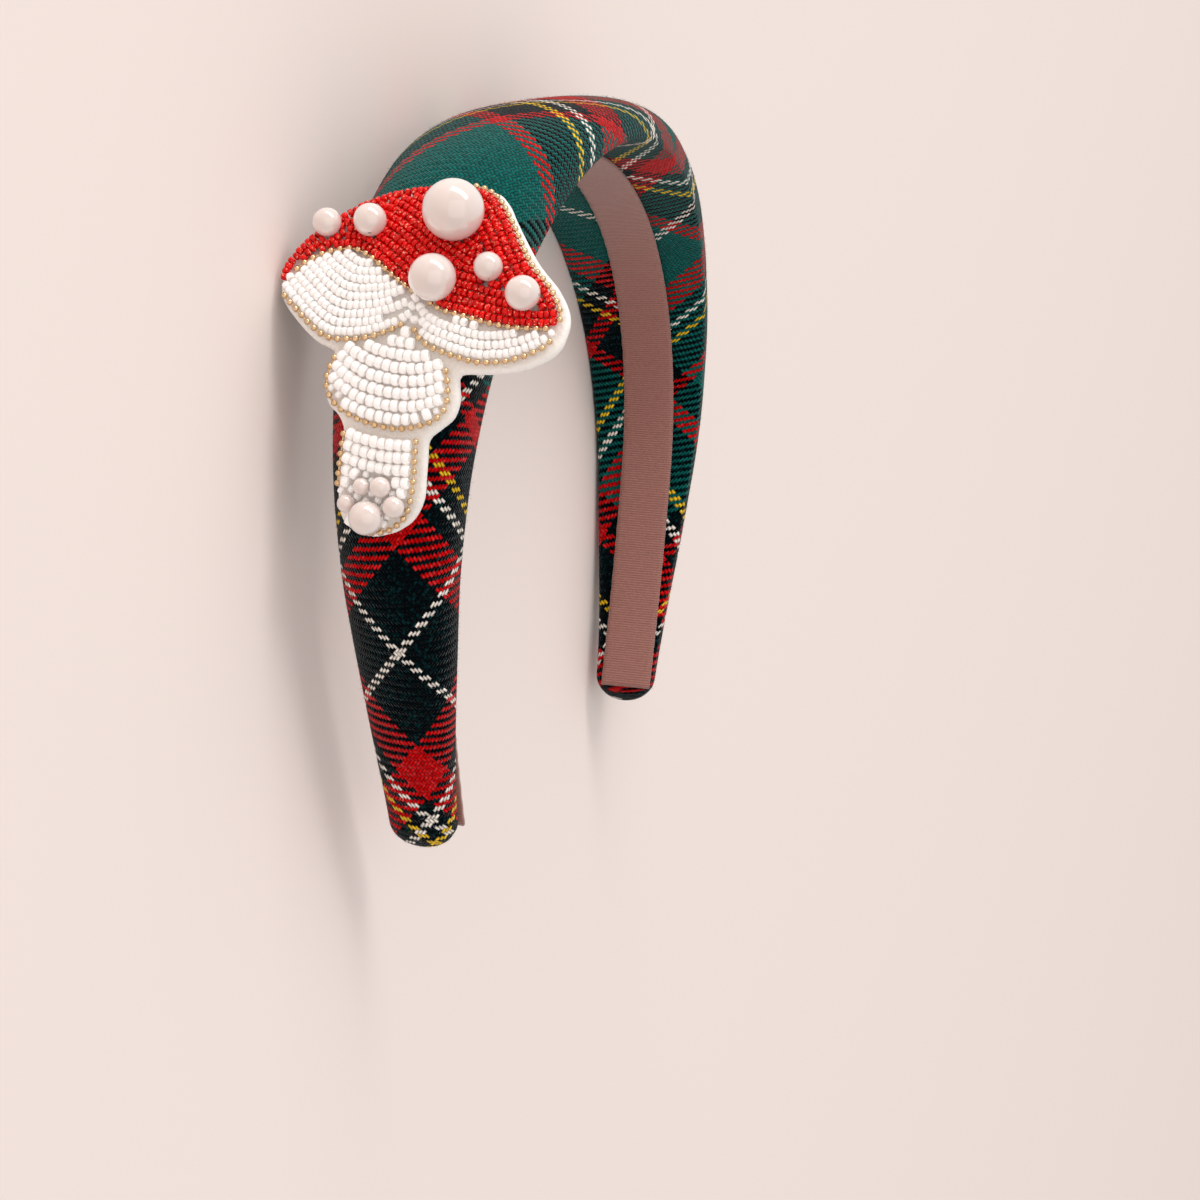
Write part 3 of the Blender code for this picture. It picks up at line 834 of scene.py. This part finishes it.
RIGHT_GILL_TOP = (
    (0.098, 0.354), (0.168, 0.384), (0.24, 0.396), (0.33, 0.411), (0.416, 0.42), (0.52, 0.42),
    (0.575, 0.413),
)
RIGHT_GILL_FOOT = (
    (0.07, 0.416), (0.109, 0.462), (0.171, 0.49), (0.296, 0.515), (0.366, 0.516),
    (0.432, 0.507), (0.498, 0.487), (0.554, 0.458), (0.575, 0.413),
)
SKIRT_SIDES = (
    (0.214, 0.534), (0.23, 0.58), (0.23, 0.636), (0.186, 0.676), (0.084, 0.70), (-0.025, 0.693),
    (-0.12, 0.666), (-0.175, 0.631), (-0.193, 0.586), (-0.178, 0.535), (-0.15, 0.505),
)
STEM_RIGHT = (
    (0.136, 0.715), (0.134, 0.807), (0.127, 0.867), (0.104, 0.926), (0.043, 0.966),
    (-0.036, 0.977),
)
STEM_LEFT = (
    (-0.036, 0.977), (-0.107, 0.947), (-0.132, 0.886), (-0.128, 0.809), (-0.116, 0.713),
)
FELT_EDGE = (
    (0.16, 0.000), (0.25, 0.006), (0.305, 0.045), (0.36, 0.112), (0.46, 0.225), (0.55, 0.30),
    (0.600, 0.365), (0.602, 0.42), (0.58, 0.468), (0.515, 0.506), (0.43, 0.53), (0.33, 0.54),
    (0.262, 0.545), (0.258, 0.57), (0.265, 0.61), (0.25, 0.657), (0.205, 0.693), (0.17, 0.72),
    (0.166, 0.77), (0.163, 0.83), (0.155, 0.885), (0.122, 0.935), (0.055, 0.974), (-0.04, 0.988),
    (-0.118, 0.958), (-0.141, 0.89), (-0.137, 0.81), (-0.128, 0.72), (-0.15, 0.675),
    (-0.190, 0.645), (-0.207, 0.59), (-0.194, 0.54), (-0.19, 0.505), (-0.262, 0.478),
    (-0.336, 0.430), (-0.400, 0.372), (-0.414, 0.315), (-0.382, 0.240), (-0.335, 0.190),
    (-0.248, 0.113), (-0.128, 0.048), (0.0, 0.014),
)


def flat_line(shares, step=0.0008):
    """Smooth line through a few points, in even small steps."""
    keys = [Vector((x * TOADSTOOL_WIDTH, y * TOADSTOOL_HEIGHT)) for x, y in shares]
    line = [keys[0]]
    for i in range(len(keys) - 1):
        start = (keys[i + 1] - keys[max(i - 1, 0)]) * 0.5
        finish = (keys[min(i + 2, len(keys) - 1)] - keys[i]) * 0.5
        count = max(1, round((keys[i + 1] - keys[i]).length / step))
        for k in range(1, count + 1):
            line.append(blend(keys[i], start, keys[i + 1], finish, k / count))
    return line


def ring_of(*lines):
    """Join lines end to start into one closed ring."""
    ring = []
    for line in lines:
        ring.extend(line[:-1])
    return ring


felt_ring = ring_of(flat_line(FELT_EDGE + FELT_EDGE[:1], 0.001))
print("points round the felt:", len(felt_ring))

# %% [markdown]
# ## Felt
# The backing is thick white wool felt, cut to shape, with a soft rounded edge that shows
# beside the beads. A disc's rim is moved to the drawn outline, the disc is raised to the
# felt's thickness and its rims are rounded. It is cut into narrow strips so that it can bend,
# and then wrapped over the padding.

# %% Cut the felt
FELT_ROUND = 0.0008
STRIP = 0.0015
bpy.ops.object.select_all(action="DESELECT")
bpy.ops.mesh.primitive_circle_add(vertices=len(felt_ring), radius=0.03, fill_type="NGON")
felt = bpy.context.active_object
felt.name = "felt_toadstool"
for vert, point in zip(felt.data.vertices, felt_ring):
    vert.co = (point.x, point.y, GAP)
bpy.ops.object.mode_set(mode="EDIT")
bpy.ops.mesh.select_all(action="SELECT")
bpy.ops.mesh.extrude_region_move(TRANSFORM_OT_translate={"value": (0.0, 0.0, FELT_THICK)})
bpy.ops.mesh.select_mode(type="EDGE")
bpy.ops.mesh.select_all(action="DESELECT")
bpy.ops.object.mode_set(mode="OBJECT")
for edge in felt.data.edges:
    low, high = (felt.data.vertices[k].co.z for k in edge.vertices)
    edge.select = abs(low - high) < 1e-6
bpy.ops.object.mode_set(mode="EDIT")
bpy.ops.mesh.bevel(offset=FELT_ROUND, segments=4, profile=0.5, clamp_overlap=True)
bpy.ops.mesh.select_all(action="SELECT")
bpy.ops.mesh.normals_make_consistent(inside=False)
for cut in range(1, int(1.02 * TOADSTOOL_HEIGHT / STRIP)):
    bpy.ops.mesh.select_all(action="SELECT")
    bpy.ops.mesh.bisect(plane_co=(0.0, cut * STRIP, 0.0), plane_no=(0.0, 1.0, 0.0))
bpy.ops.mesh.select_all(action="SELECT")
bpy.ops.mesh.quads_convert_to_tris()
bpy.ops.object.mode_set(mode="OBJECT")
for vert in felt.data.vertices:
    flat = vert.co
    fluff = 0.00010 * noise.noise(flat / 0.0022)
    vert.co = on_backing(flat.x + fluff, flat.y + fluff, flat.z + fluff)
bpy.ops.object.shade_smooth()
felt.data.transform(REST)
print("felt:", len(felt.data.polygons), "faces")

# %% Felt finish
FELT_SHADE = (0.86, 0.80, 0.75, 1.0)
FELT_PALE = (0.98, 0.95, 0.92, 1.0)
felt_finish = Finish("white_felt")
matting = felt_finish.noise(felt_finish.place(), 1400.0, 5.0)
clouds = felt_finish.noise(felt_finish.place(), 260.0, 2.0)
felt_finish.shade(
    Base_Color=felt_finish.mix(matting * 0.6 + clouds * 0.3, FELT_SHADE, FELT_PALE),
    Roughness=0.95,
    Specular_IOR_Level=0.1,
    Subsurface_Weight=0.6,
    Subsurface_Radius=(1.0, 0.95, 0.92),
    Subsurface_Scale=0.0012,
    Sheen_Weight=0.3,
    Sheen_Roughness=0.5,
)
felt_finish.bump(matting + clouds, 0.00030)
felt.data.materials.append(felt_finish.material)
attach(felt, "root")
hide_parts("felt_backing")

# %% [markdown]
# ## Gold ball chain
# A fine chain of small gold balls on a wire edges the beaded fields. One ball is modelled and
# copied at even steps along each line, and a thin wire joins the balls.

# %% One gold ball
BALL = 0.00124
BALL_STEP = 0.0018
WIRE = 0.00018
CHAIN_HEIGHT = BEAD_FLOOR + 0.5 * BALL + 0.0003


def gather(name, copies):
    """Join copies into one piece."""
    bpy.ops.object.select_all(action="DESELECT")
    for copy in copies:
        copy.select_set(True)
    bpy.context.view_layer.objects.active = copies[0]
    bpy.ops.object.join()
    piece = bpy.context.active_object
    piece.name = name
    return piece


def copy_at(pattern, matrix):
    """Copy of a pattern piece, with its own mesh and its place in it."""
    copy = pattern.copy()
    copy.data = pattern.data.copy()
    copy.data.transform(matrix)
    bpy.context.scene.collection.objects.link(copy)
    return copy


def stand_on_felt(front, down, height, heading):
    """Place on the felt: the third axis follows a flat heading, the second stands up."""
    here = on_backing(front, down, height)
    step = 0.0004
    ahead_point = on_backing(front + step * heading.x, down + step * heading.y, height)
    forward = (ahead_point - here).normalized()
    up = (on_backing(front, down, height + step) - here).normalized()
    sideways = up.cross(forward).normalized()
    up = forward.cross(sideways)
    matrix = Matrix((sideways, up, forward)).transposed().to_4x4()
    matrix.translation = here
    return matrix


bpy.ops.object.select_all(action="DESELECT")
bpy.ops.mesh.primitive_uv_sphere_add(segments=10, ring_count=7, radius=0.5 * BALL)
ball = bpy.context.active_object
bpy.ops.object.shade_smooth()

# %% Chains along the lines
# Piece and node, then its stretches: a line and the shares of it where the chain starts and ends
CHAINS = (
    ("gold_cap", ((CAP_EDGE, 0.52, 0.985),)),
    ("gold_gill_right", ((RIGHT_GILL_FOOT, 0.05, 0.93),)),
    ("gold_gill_left", ((LEFT_GILL_FOOT, 0.06, 0.95),)),
    ("gold_brim_left", ((LEFT_GILL_TOP, 0.10, 0.95),)),
    ("gold_brim_right", ((RIGHT_GILL_TOP, 0.05, 0.95),)),
    ("gold_skirt", ((SKIRT_SIDES, 0.0, 0.97),)),
    ("gold_stem", ((STEM_RIGHT, 0.02, 0.97), (STEM_LEFT, 0.53, 0.98))),
)


def measure(line):
    """Lengths along a line at its points."""
    steps = [(after - before).length for before, after in zip(line, line[1:])]
    return np.concatenate([[0.0], np.cumsum(steps)])


def walk(line, step, start=0.0, finish=1.0):
    """Points and headings at even steps along a part of a line."""
    lengths = measure(line)
    first = start * lengths[-1]
    last = finish * lengths[-1]
    count = max(1, int((last - first) / step))
    xs = [p.x for p in line]
    ys = [p.y for p in line]
    places = []
    for k in range(count + 1):
        s = first + (last - first - count * step) * 0.5 + k * step
        here = Vector((float(np.interp(s, lengths, xs)), float(np.interp(s, lengths, ys))))
        before = min(max(s - 0.0006, 0.0), lengths[-1])
        after = min(max(s + 0.0006, 0.0), lengths[-1])
        heading = Vector((
            float(np.interp(after, lengths, xs) - np.interp(before, lengths, xs)),
            float(np.interp(after, lengths, ys) - np.interp(before, lengths, ys)),
        ))
        places.append((here, heading.normalized()))
    return places


GOLD_DARKER = (0.52, 0.30, 0.13, 1.0)
GOLD_BRIGHT = (0.98, 0.75, 0.47, 1.0)
WIRE_STEP = 0.0007
brass = Finish("gold_plate")
# Darker and brighter gold in random patches, rougher where it is brighter.
gold_patches = brass.noise(brass.place(), 900.0, 3.0)
brass.shade(
    Base_Color=brass.mix(gold_patches, GOLD_DARKER, GOLD_BRIGHT),
    Metallic=1.0,
    Roughness=0.07 + gold_patches * 0.12,
)

chain_balls = 0
gold_path = []
for node_name, stretches in CHAINS:
    copies = []
    for shares, start, finish in stretches:
        line = flat_line(shares)
        bpy.ops.object.select_all(action="DESELECT")
        bpy.ops.curve.primitive_nurbs_path_add()
        wire = bpy.context.active_object
        wire.data.splines.clear()
        wire.data.bevel_depth = WIRE
        wire.data.bevel_resolution = 1
        wire.data.use_fill_caps = True
        places = walk(line, WIRE_STEP, start, finish)
        gold_path += [tuple(here) for here, heading in places]
        spline = wire.data.splines.new("POLY")
        spline.points.add(len(places) - 1)
        for spot, (here, heading) in zip(spline.points, places):
            spot.co = (*on_backing(here.x, here.y, CHAIN_HEIGHT - 0.0001), 1.0)
        bpy.ops.object.convert(target="MESH")
        bpy.ops.object.shade_smooth()
        copies.append(bpy.context.active_object)
        for here, heading in walk(line, BALL_STEP, start, finish):
            copies.append(copy_at(ball, stand_on_felt(here.x, here.y, CHAIN_HEIGHT, heading)))
            chain_balls += 1
    chain = gather(node_name + "_chain", copies)
    chain.data.transform(REST)
    chain.data.materials.clear()
    chain.data.materials.append(brass.material)
    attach(chain, "root")
    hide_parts(node_name)
bpy.data.objects.remove(ball)
print("gold balls:", chain_balls)

# %% [markdown]
# ## Seed beads
# A seed bead is a short glass tube with rounded ends. It lies on its side, because the thread
# runs through it along the row. On the cap each row keeps a steady distance from the brim or
# from an edge. On the gills each row is the field's foot moved upward, so that the rows nest
# like smiles, and the skirt and the stem each have a row line of their own that is moved. A row
# is sewn only where it stays in its field and clear of the pearls, the gold and the rows that
# are there already. Single beads then fill the holes that are left, and smaller ones the holes
# that are still too small on the white fields.

# %% Moving a line
def beside(line, distance):
    """The line moved sideways, without the loops that this makes in tight bends."""
    moved = []
    for i, point in enumerate(line):
        heading = (line[min(i + 1, len(line) - 1)] - line[max(i - 1, 0)]).normalized()
        target = point + Vector((heading.y, -heading.x)) * distance
        nearest = min((target - other).length for other in line)
        if nearest > abs(distance) * 0.985:
            moved.append(target)
    return moved


def lengthened(line, extra):
    """The line with both ends carried on straight."""
    start = line[0] + (line[0] - line[3]).normalized() * extra
    end = line[-1] + (line[-1] - line[-4]).normalized() * extra
    return [start] + line + [end]


def lifted(line, lean, distance):
    """The line moved up the drawing, and leaning to the front as it goes."""
    way = Vector((lean, -1.0)).normalized() * distance
    return [point + way for point in line]


# %% A field of beads
def inside(ring, point):
    """Whether a flat point is inside a closed ring."""
    odd = False
    for a, b in zip(ring, ring[1:] + ring[:1]):
        if (a.y > point.y) != (b.y > point.y):
            if point.x < a.x + (b.x - a.x) * (point.y - a.y) / (b.y - a.y):
                odd = not odd
    return odd


GOLD_POINTS = np.array(gold_path)
GOLD_CLEAR = 0.00022
TUCK_STEP = 0.0004


class BeadField:
    """Beads sewn so far on one field.

    A bead and a pearl just touch at a pearl_share of 1; below it beads reach into the pearls.
    """

    def __init__(self, ring, size, length, margin, neighbours=(), pearl_share=0.93):
        self.ring = ring
        self.neighbours = list(neighbours)
        self.pearl_share = pearl_share
        self.rows_end = 0
        self.corners = np.array([tuple(corner) for corner in ring])
        self.size = size
        self.length = length
        self.margin = margin
        self.places = []

    def free(self, point, apart=0.80):
        """Whether a bead fits here, at a share of its size from the beads of other rows."""
        here = np.array(point)
        if np.hypot(*(self.corners - here).T).min() < self.margin or not inside(self.ring, point):
            return False
        for diameter, front, down in pearls.values():
            reach = self.pearl_share * math.sqrt(diameter * self.size)
            if (point - Vector((front, down))).length < reach:
                return False
        if np.hypot(*(GOLD_POINTS - here).T).min() < 0.5 * self.size + GOLD_CLEAR:
            return False
        if not self.places and not self.neighbours:
            return True
        others = np.array([tuple(other) for other, way in self.places + self.neighbours])
        return np.hypot(*(others - here).T).min() > apart * self.size

    def sew(self, line):
        """Sew a row in each free stretch of a line, as full as it goes."""
        row = []
        stretch = []
        for point, heading in walk(line, 0.00025) + [(None, None)]:
            if point is not None and self.free(point):
                stretch.append(point)
            elif stretch:
                row += self.fill(stretch)
                stretch = []
        self.places += row

    def fill(self, stretch):
        if len(stretch) < 3:
            return []
        total = float(measure(stretch)[-1])
        count = int(total / (self.length * 1.01)) + 1
        step = min(total / max(count - 1, 1), 1.10 * self.length)
        spare = 0.5 * (total - step * (count - 1)) / total
        return walk(stretch, step * 0.9999, spare, 1.0 - spare)[:count]

    def sew_rows(self, lines):
        for line in lines:
            if len(line) > 3:
                self.sew(line)

    def tuck(self, apart):
        """Fill the holes that the rows leave with single beads, turned as the nearest one."""
        self.rows_end = len(self.places)
        low = self.corners.min(axis=0)
        high = self.corners.max(axis=0)
        for y in np.arange(low[1], high[1], TUCK_STEP):
            for x in np.arange(low[0], high[0], TUCK_STEP):
                point = Vector((float(x), float(y)))
                if self.free(point, apart):
                    sewn = self.places + self.neighbours
                    way = min(sewn, key=lambda place: (place[0] - point).length)[1]
                    self.places.append((point, way))


# %% One bead of each size
FULLNESS = 0.82
TUCK_LIFT = 0.00022
SWAY_SHIFT = 0.00004
SWAY_TURN = 0.10


def seed_bead(size, length, hole=0.30):
    """Short tube with rounded ends: a ring stretched along its hole, with fuller corners."""
    outer = 0.5 * size
    inner = hole * outer
    thick = 0.5 * (outer - inner)
    bpy.ops.object.select_all(action="DESELECT")
    bpy.ops.mesh.primitive_torus_add(
        major_segments=10, minor_segments=8, major_radius=inner + thick, minor_radius=thick
    )
    bead = bpy.context.active_object
    bpy.ops.object.mode_set(mode="EDIT")
    bpy.ops.mesh.select_all(action="SELECT")
    bpy.ops.transform.resize(value=(1.0, 1.0, 0.5 * length / thick))
    bpy.ops.object.mode_set(mode="OBJECT")
    for vert in bead.data.vertices:
        around = math.hypot(vert.co.x, vert.co.y)
        rise = (around - inner - thick) / thick
        lengthways = 2.0 * vert.co.z / length
        fuller = inner + thick + thick * math.copysign(abs(rise) ** FULLNESS, rise)
        vert.co.x *= fuller / around
        vert.co.y *= fuller / around
        vert.co.z = 0.5 * length * math.copysign(abs(lengthways) ** FULLNESS, lengthways)
    bpy.ops.object.shade_smooth()
    return bead


def small_beads(field, size, apart):
    """Smaller beads for the holes that a field's own beads are too large for."""
    sewn = field.places + field.neighbours
    small = BeadField(field.ring, size, 0.75 * size, 0.4 * size, sewn, field.pearl_share)
    small.tuck(apart)
    return small


def sew_beads(name, fields, node_name, finish):
    """Copy a bead to each place of the fields, each a little different, as one piece."""
    copies = []
    for field in fields:
        pattern = seed_bead(field.size, field.length)
        for k, (point, heading) in enumerate(field.places):
            lift = BEAD_FLOOR + 0.5 * field.size + (TUCK_LIFT if k >= field.rows_end else 0.0)
            matrix = stand_on_felt(point.x, point.y, lift, heading)
            sway = Matrix.Translation([random.gauss(0.0, SWAY_SHIFT) for axis in range(3)])
            sway = sway @ Matrix.Rotation(random.gauss(0.0, SWAY_TURN), 4, "X")
            sway = sway @ Matrix.Rotation(random.gauss(0.0, SWAY_TURN), 4, "Y")
            grow = Matrix.Diagonal((
                random.uniform(0.93, 1.04),
                random.uniform(0.93, 1.04),
                random.uniform(0.92, 1.02),
                1.0,
            ))
            copy = copy_at(pattern, matrix @ sway @ grow)
            tint = copy.data.attributes.new("tint", "FLOAT", "POINT")
            tint.data.foreach_set("value", [random.random()] * len(copy.data.vertices))
            copies.append(copy)
        bpy.data.objects.remove(pattern)
    piece = gather(name, copies)
    piece.data.transform(REST)
    piece.data.materials.clear()
    piece.data.materials.append(finish.material)
    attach(piece, "root")
    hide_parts(node_name)
    print(name, len(copies), "beads")


# %% Glass finishes
def glass(name, deep, bright, glint, gloss, milky_and_glow):
    """Bead glass: each bead has its own tone, and brighter streaks stand for light off the
    silvered lining of its hole, a painted reflection.

    Small spots of the glint colour are painted highlights. A milky bead also glows a little, a
    painted glow for the light that reaches it through its neighbours.
    """
    finish = Finish(name)
    tint = finish.node("ShaderNodeAttribute", {"attribute_name": "tint"}).outputs["Fac"]
    # Painted reflection: the brighter streaks stand for light off the silvered lining of the hole.
    painted_lining_shine = finish.noise(finish.place(), 1300.0, 2.0)
    share = Value(finish, tint) * 0.4 + (painted_lining_shine - 0.35) * 1.5
    # Painted highlights: small spots of the bead turn to the glint colour.
    glints = (finish.noise(finish.place(), 2300.0, 1.0) - 0.63) * 12.0
    body = finish.mix(share, deep, bright)
    finish.shade(
        Base_Color=finish.mix(glints, body, glint),
        Roughness=0.16,
        Specular_IOR_Level=0.15 * gloss,
        Coat_Weight=gloss,
        Coat_Roughness=0.04,
        Subsurface_Weight=milky_and_glow,
        Subsurface_Radius=(1.0, 0.95, 0.92),
        Subsurface_Scale=0.0014,
    )
    # Painted glow: a milky bead gives off its body colour as light, though it is no lamp.
    finish.shade(Emission_Color=body, Emission_Strength=0.15 * milky_and_glow)
    return finish


RED_DEEP = (0.47, 0.0, 0.0, 1.0)
RED_BRIGHT = (1.0, 0.004, 0.002, 1.0)
# Colour of the painted highlights on the red beads.
RED_GLINT = (1.0, 0.40, 0.27, 1.0)
red_glass = glass("red_glass", RED_DEEP, RED_BRIGHT, RED_GLINT, 0.40, 0.0)
WHITE_DEEP = (0.87, 0.81, 0.775, 1.0)
WHITE_BRIGHT = (0.92, 0.88, 0.85, 1.0)
# Colour of the painted highlights on the white beads.
WHITE_GLINT = (1.0, 1.0, 1.0, 1.0)
white_glass = glass("white_glass", WHITE_DEEP, WHITE_BRIGHT, WHITE_GLINT, 0.6, 1.0)

# %% Red beads on the cap
RED_SIZE = 0.00164
RED_LENGTH = 0.00110
RED_ROW = 0.00152
RED_MARGIN = 0.00055
LEFT_INSET = 0.0007
RIGHT_INSET = 0.0012
BRIM_INSET = 0.0011
brim = flat_line(LEFT_GILL_TOP) + flat_line(RIGHT_GILL_TOP)[1:]
cap_ring = ring_of(
    flat_line(CAP_EDGE), flat_line(RIGHT_GILL_TOP)[::-1], flat_line(LEFT_GILL_TOP)[::-1]
)
cap = BeadField(cap_ring, RED_SIZE, RED_LENGTH, RED_MARGIN, pearl_share=0.80)
cap_edge = flat_line(CAP_EDGE)
left_edge = [p for p in cap_edge if p.x < 0.16 * TOADSTOOL_WIDTH]
far_left = [p for p in cap_edge if p.x < -0.27 * TOADSTOOL_WIDTH]
right_edge = [p for p in cap_edge if p.x > 0.17 * TOADSTOOL_WIDTH]
cap.sew_rows([beside(left_edge, -LEFT_INSET)])
cap.sew_rows([beside(far_left, -LEFT_INSET - k * RED_ROW) for k in range(1, 3)])
cap.sew_rows([beside(brim, BRIM_INSET + k * RED_ROW) for k in range(2)])
cap.sew_rows([beside(right_edge, -RIGHT_INSET - k * RED_ROW) for k in range(4)])
cap.sew_rows([beside(brim, BRIM_INSET + k * RED_ROW) for k in range(2, 18)])
cap.tuck(0.68)
sew_beads("cap_seed_beads", [cap], "cap_beads", red_glass)

# %% White beads of the gills
GILL_SIZE = 0.00180
GILL_LENGTH = 0.00120
GILL_ROW = 0.00172
GILL_MARGIN = 0.00060
FOOT_INSET = 0.0015
TOP_INSET = 0.0013
DIVIDE_SHIFT = 0.0010
SMALL_SIZE = 0.00140


def finish_white(name, field, node_name, own_apart, small_apart, small_from=0.0):
    """Tuck a white field's own beads into its holes, then small ones, and sew all of them.

    Small beads lie only from a share of the toadstool's height downward.
    """
    field.tuck(own_apart)
    small = small_beads(field, SMALL_SIZE, small_apart)
    highest = small_from * TOADSTOOL_HEIGHT
    small.places = [place for place in small.places if place[0].y > highest]
    sew_beads(name, [field, small], node_name, white_glass)


divide = flat_line((LEFT_GILL_TOP[-1], LEFT_GILL_FOOT[-1]))
left_ring = ring_of(flat_line(LEFT_GILL_TOP), divide, flat_line(LEFT_GILL_FOOT)[::-1])
left_foot = lengthened(flat_line(LEFT_GILL_FOOT), 0.004)
left_gill = BeadField(left_ring, GILL_SIZE, GILL_LENGTH, GILL_MARGIN)
left_gill.sew_rows([lifted(left_foot, 0.25, FOOT_INSET + k * GILL_ROW) for k in range(12)])
finish_white("left_gill_beads", left_gill, "gill_left", 0.84, 1.14)

# The right gill's beads start right beside the left gill's
near_divide = [point + Vector((-DIVIDE_SHIFT, 0.0)) for point in divide]
right_ring = ring_of(
    flat_line(RIGHT_GILL_TOP), flat_line(RIGHT_GILL_FOOT)[::-1], near_divide[::-1]
)
right_foot = lengthened(flat_line(RIGHT_GILL_FOOT), 0.003)
right_gill = BeadField(right_ring, GILL_SIZE, GILL_LENGTH, GILL_MARGIN, left_gill.places)
right_gill.sew_rows([lifted(right_foot, 0.0, FOOT_INSET + k * GILL_ROW) for k in range(6)])
right_gill.sew_rows([beside(flat_line(RIGHT_GILL_TOP), -TOP_INSET)])
finish_white("right_gill_beads", right_gill, "gill_right", 0.84, 1.10)

# %% White beads of the skirt and the stem
LARGE_SIZE = 0.00236
LARGE_LENGTH = 0.00158
LARGE_ROW = 0.00230
LARGE_MARGIN = 0.00085
FOOT_SHARE = 0.80

# The beads reach up to the gold above them
SKIRT_HEAD = (
    (-0.15, 0.492), (-0.054, 0.482), (0.03, 0.458), (0.07, 0.436), (0.115, 0.482), (0.214, 0.520),
)
STEM_HEAD = ((-0.116, 0.700), (0.0, 0.712), (0.136, 0.698))
SKIRT_ROW = (
    (-0.215, 0.560), (-0.185, 0.600), (-0.14, 0.634), (-0.08, 0.657), (-0.01, 0.671),
    (0.07, 0.677), (0.14, 0.670), (0.205, 0.652),
)
STEM_ROW = ((-0.13, 0.710), (-0.07, 0.728), (0.0, 0.739), (0.07, 0.743), (0.14, 0.741))
skirt_ring = ring_of(
    flat_line(SKIRT_SIDES),
    flat_line((SKIRT_SIDES[-1], SKIRT_HEAD[0])),
    flat_line(SKIRT_HEAD),
    flat_line((SKIRT_HEAD[-1], SKIRT_SIDES[0])),
)
skirt = BeadField(skirt_ring, LARGE_SIZE, LARGE_LENGTH, LARGE_MARGIN)
skirt_row = lengthened(flat_line(SKIRT_ROW), 0.003)
skirt.sew_rows([lifted(skirt_row, 0.12, k * LARGE_ROW) for k in range(8)])
finish_white("skirt_seed_beads", skirt, "skirt_beads", 0.78, 1.26)
stem_ring = ring_of(
    flat_line(STEM_RIGHT),
    flat_line(STEM_LEFT),
    flat_line((STEM_LEFT[-1], STEM_HEAD[0])),
    flat_line(STEM_HEAD),
    flat_line((STEM_HEAD[-1], STEM_RIGHT[0])),
)
stem = BeadField(stem_ring, LARGE_SIZE, LARGE_LENGTH, LARGE_MARGIN)
stem_row = lengthened(flat_line(STEM_ROW), 0.002)
stem.sew_rows([lifted(stem_row, 0.0, -0.97 * k * LARGE_ROW) for k in range(6)])

# Small beads only lie round the pearls at the stem's foot
finish_white("stem_seed_beads", stem, "stem_beads", 0.72, 1.20, FOOT_SHARE)

# %% [markdown]
# ## Pearls
# Imitation pearls of several sizes stand on the felt between the beads. Each is a ball with a
# drilled hole through it for the thread, lying level with the felt. The look of pearl is a pinkish
# body under a clear shiny coat. The body's colour turns paler where it is seen edge on and stays
# darker where it faces the viewer: painted reflection.

# %% Pearl finish
PEARL_BODY = (0.73, 0.60, 0.545, 1.0)
PEARL_EDGE = (0.97, 0.94, 0.93, 1.0)
pearl_shell = Finish("pearl_shell")
# Painted reflection: the body is darker where it faces the viewer and paler where it is seen edge
# on; its pinkish tint is the pearl's own.
edge_on = pearl_shell.node("ShaderNodeLayerWeight", None, {"Blend": 0.35}).outputs["Facing"]
pearl_shell.shade(
    Base_Color=pearl_shell.mix(edge_on, PEARL_BODY, PEARL_EDGE),
    Roughness=0.24,
    Coat_Weight=1.0,
    Coat_Roughness=0.05,
    Coat_IOR=2.1,
)

# %% Pearls
PEARL_RINGS = 26
HOLE_DEPTH = 0.15
for name, (diameter, front, down) in pearls.items():
    bpy.ops.object.select_all(action="DESELECT")
    bpy.ops.mesh.primitive_uv_sphere_add(
        segments=40, ring_count=PEARL_RINGS, radius=0.5 * diameter
    )
    pearl = bpy.context.active_object
    pearl.name = name + "_bead"
    bpy.ops.object.mode_set(mode="EDIT")
    bpy.ops.mesh.select_mode(type="FACE")
    bpy.ops.mesh.select_all(action="DESELECT")
    bpy.ops.object.mode_set(mode="OBJECT")
    for face in pearl.data.polygons:
        face.select = abs(face.center.z) > 0.5 * diameter * math.cos(math.pi / PEARL_RINGS)
    bpy.ops.object.mode_set(mode="EDIT")
    bpy.ops.mesh.extrude_region_shrink_fatten(
        TRANSFORM_OT_shrink_fatten={"value": -HOLE_DEPTH * diameter}
    )
    bpy.ops.object.mode_set(mode="OBJECT")
    bpy.ops.object.shade_smooth_by_angle(angle=math.radians(40.0))
    heading = Vector((math.cos(front / 0.004), math.sin(front / 0.004)))
    height_of = BEAD_FLOOR + 0.5 * diameter
    pearl.data.transform(REST @ stand_on_felt(front, down, height_of, heading))
    pearl.data.materials.append(pearl_shell.material)
    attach(pearl, "root")
    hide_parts(name)
print("pearls:", len(pearls))
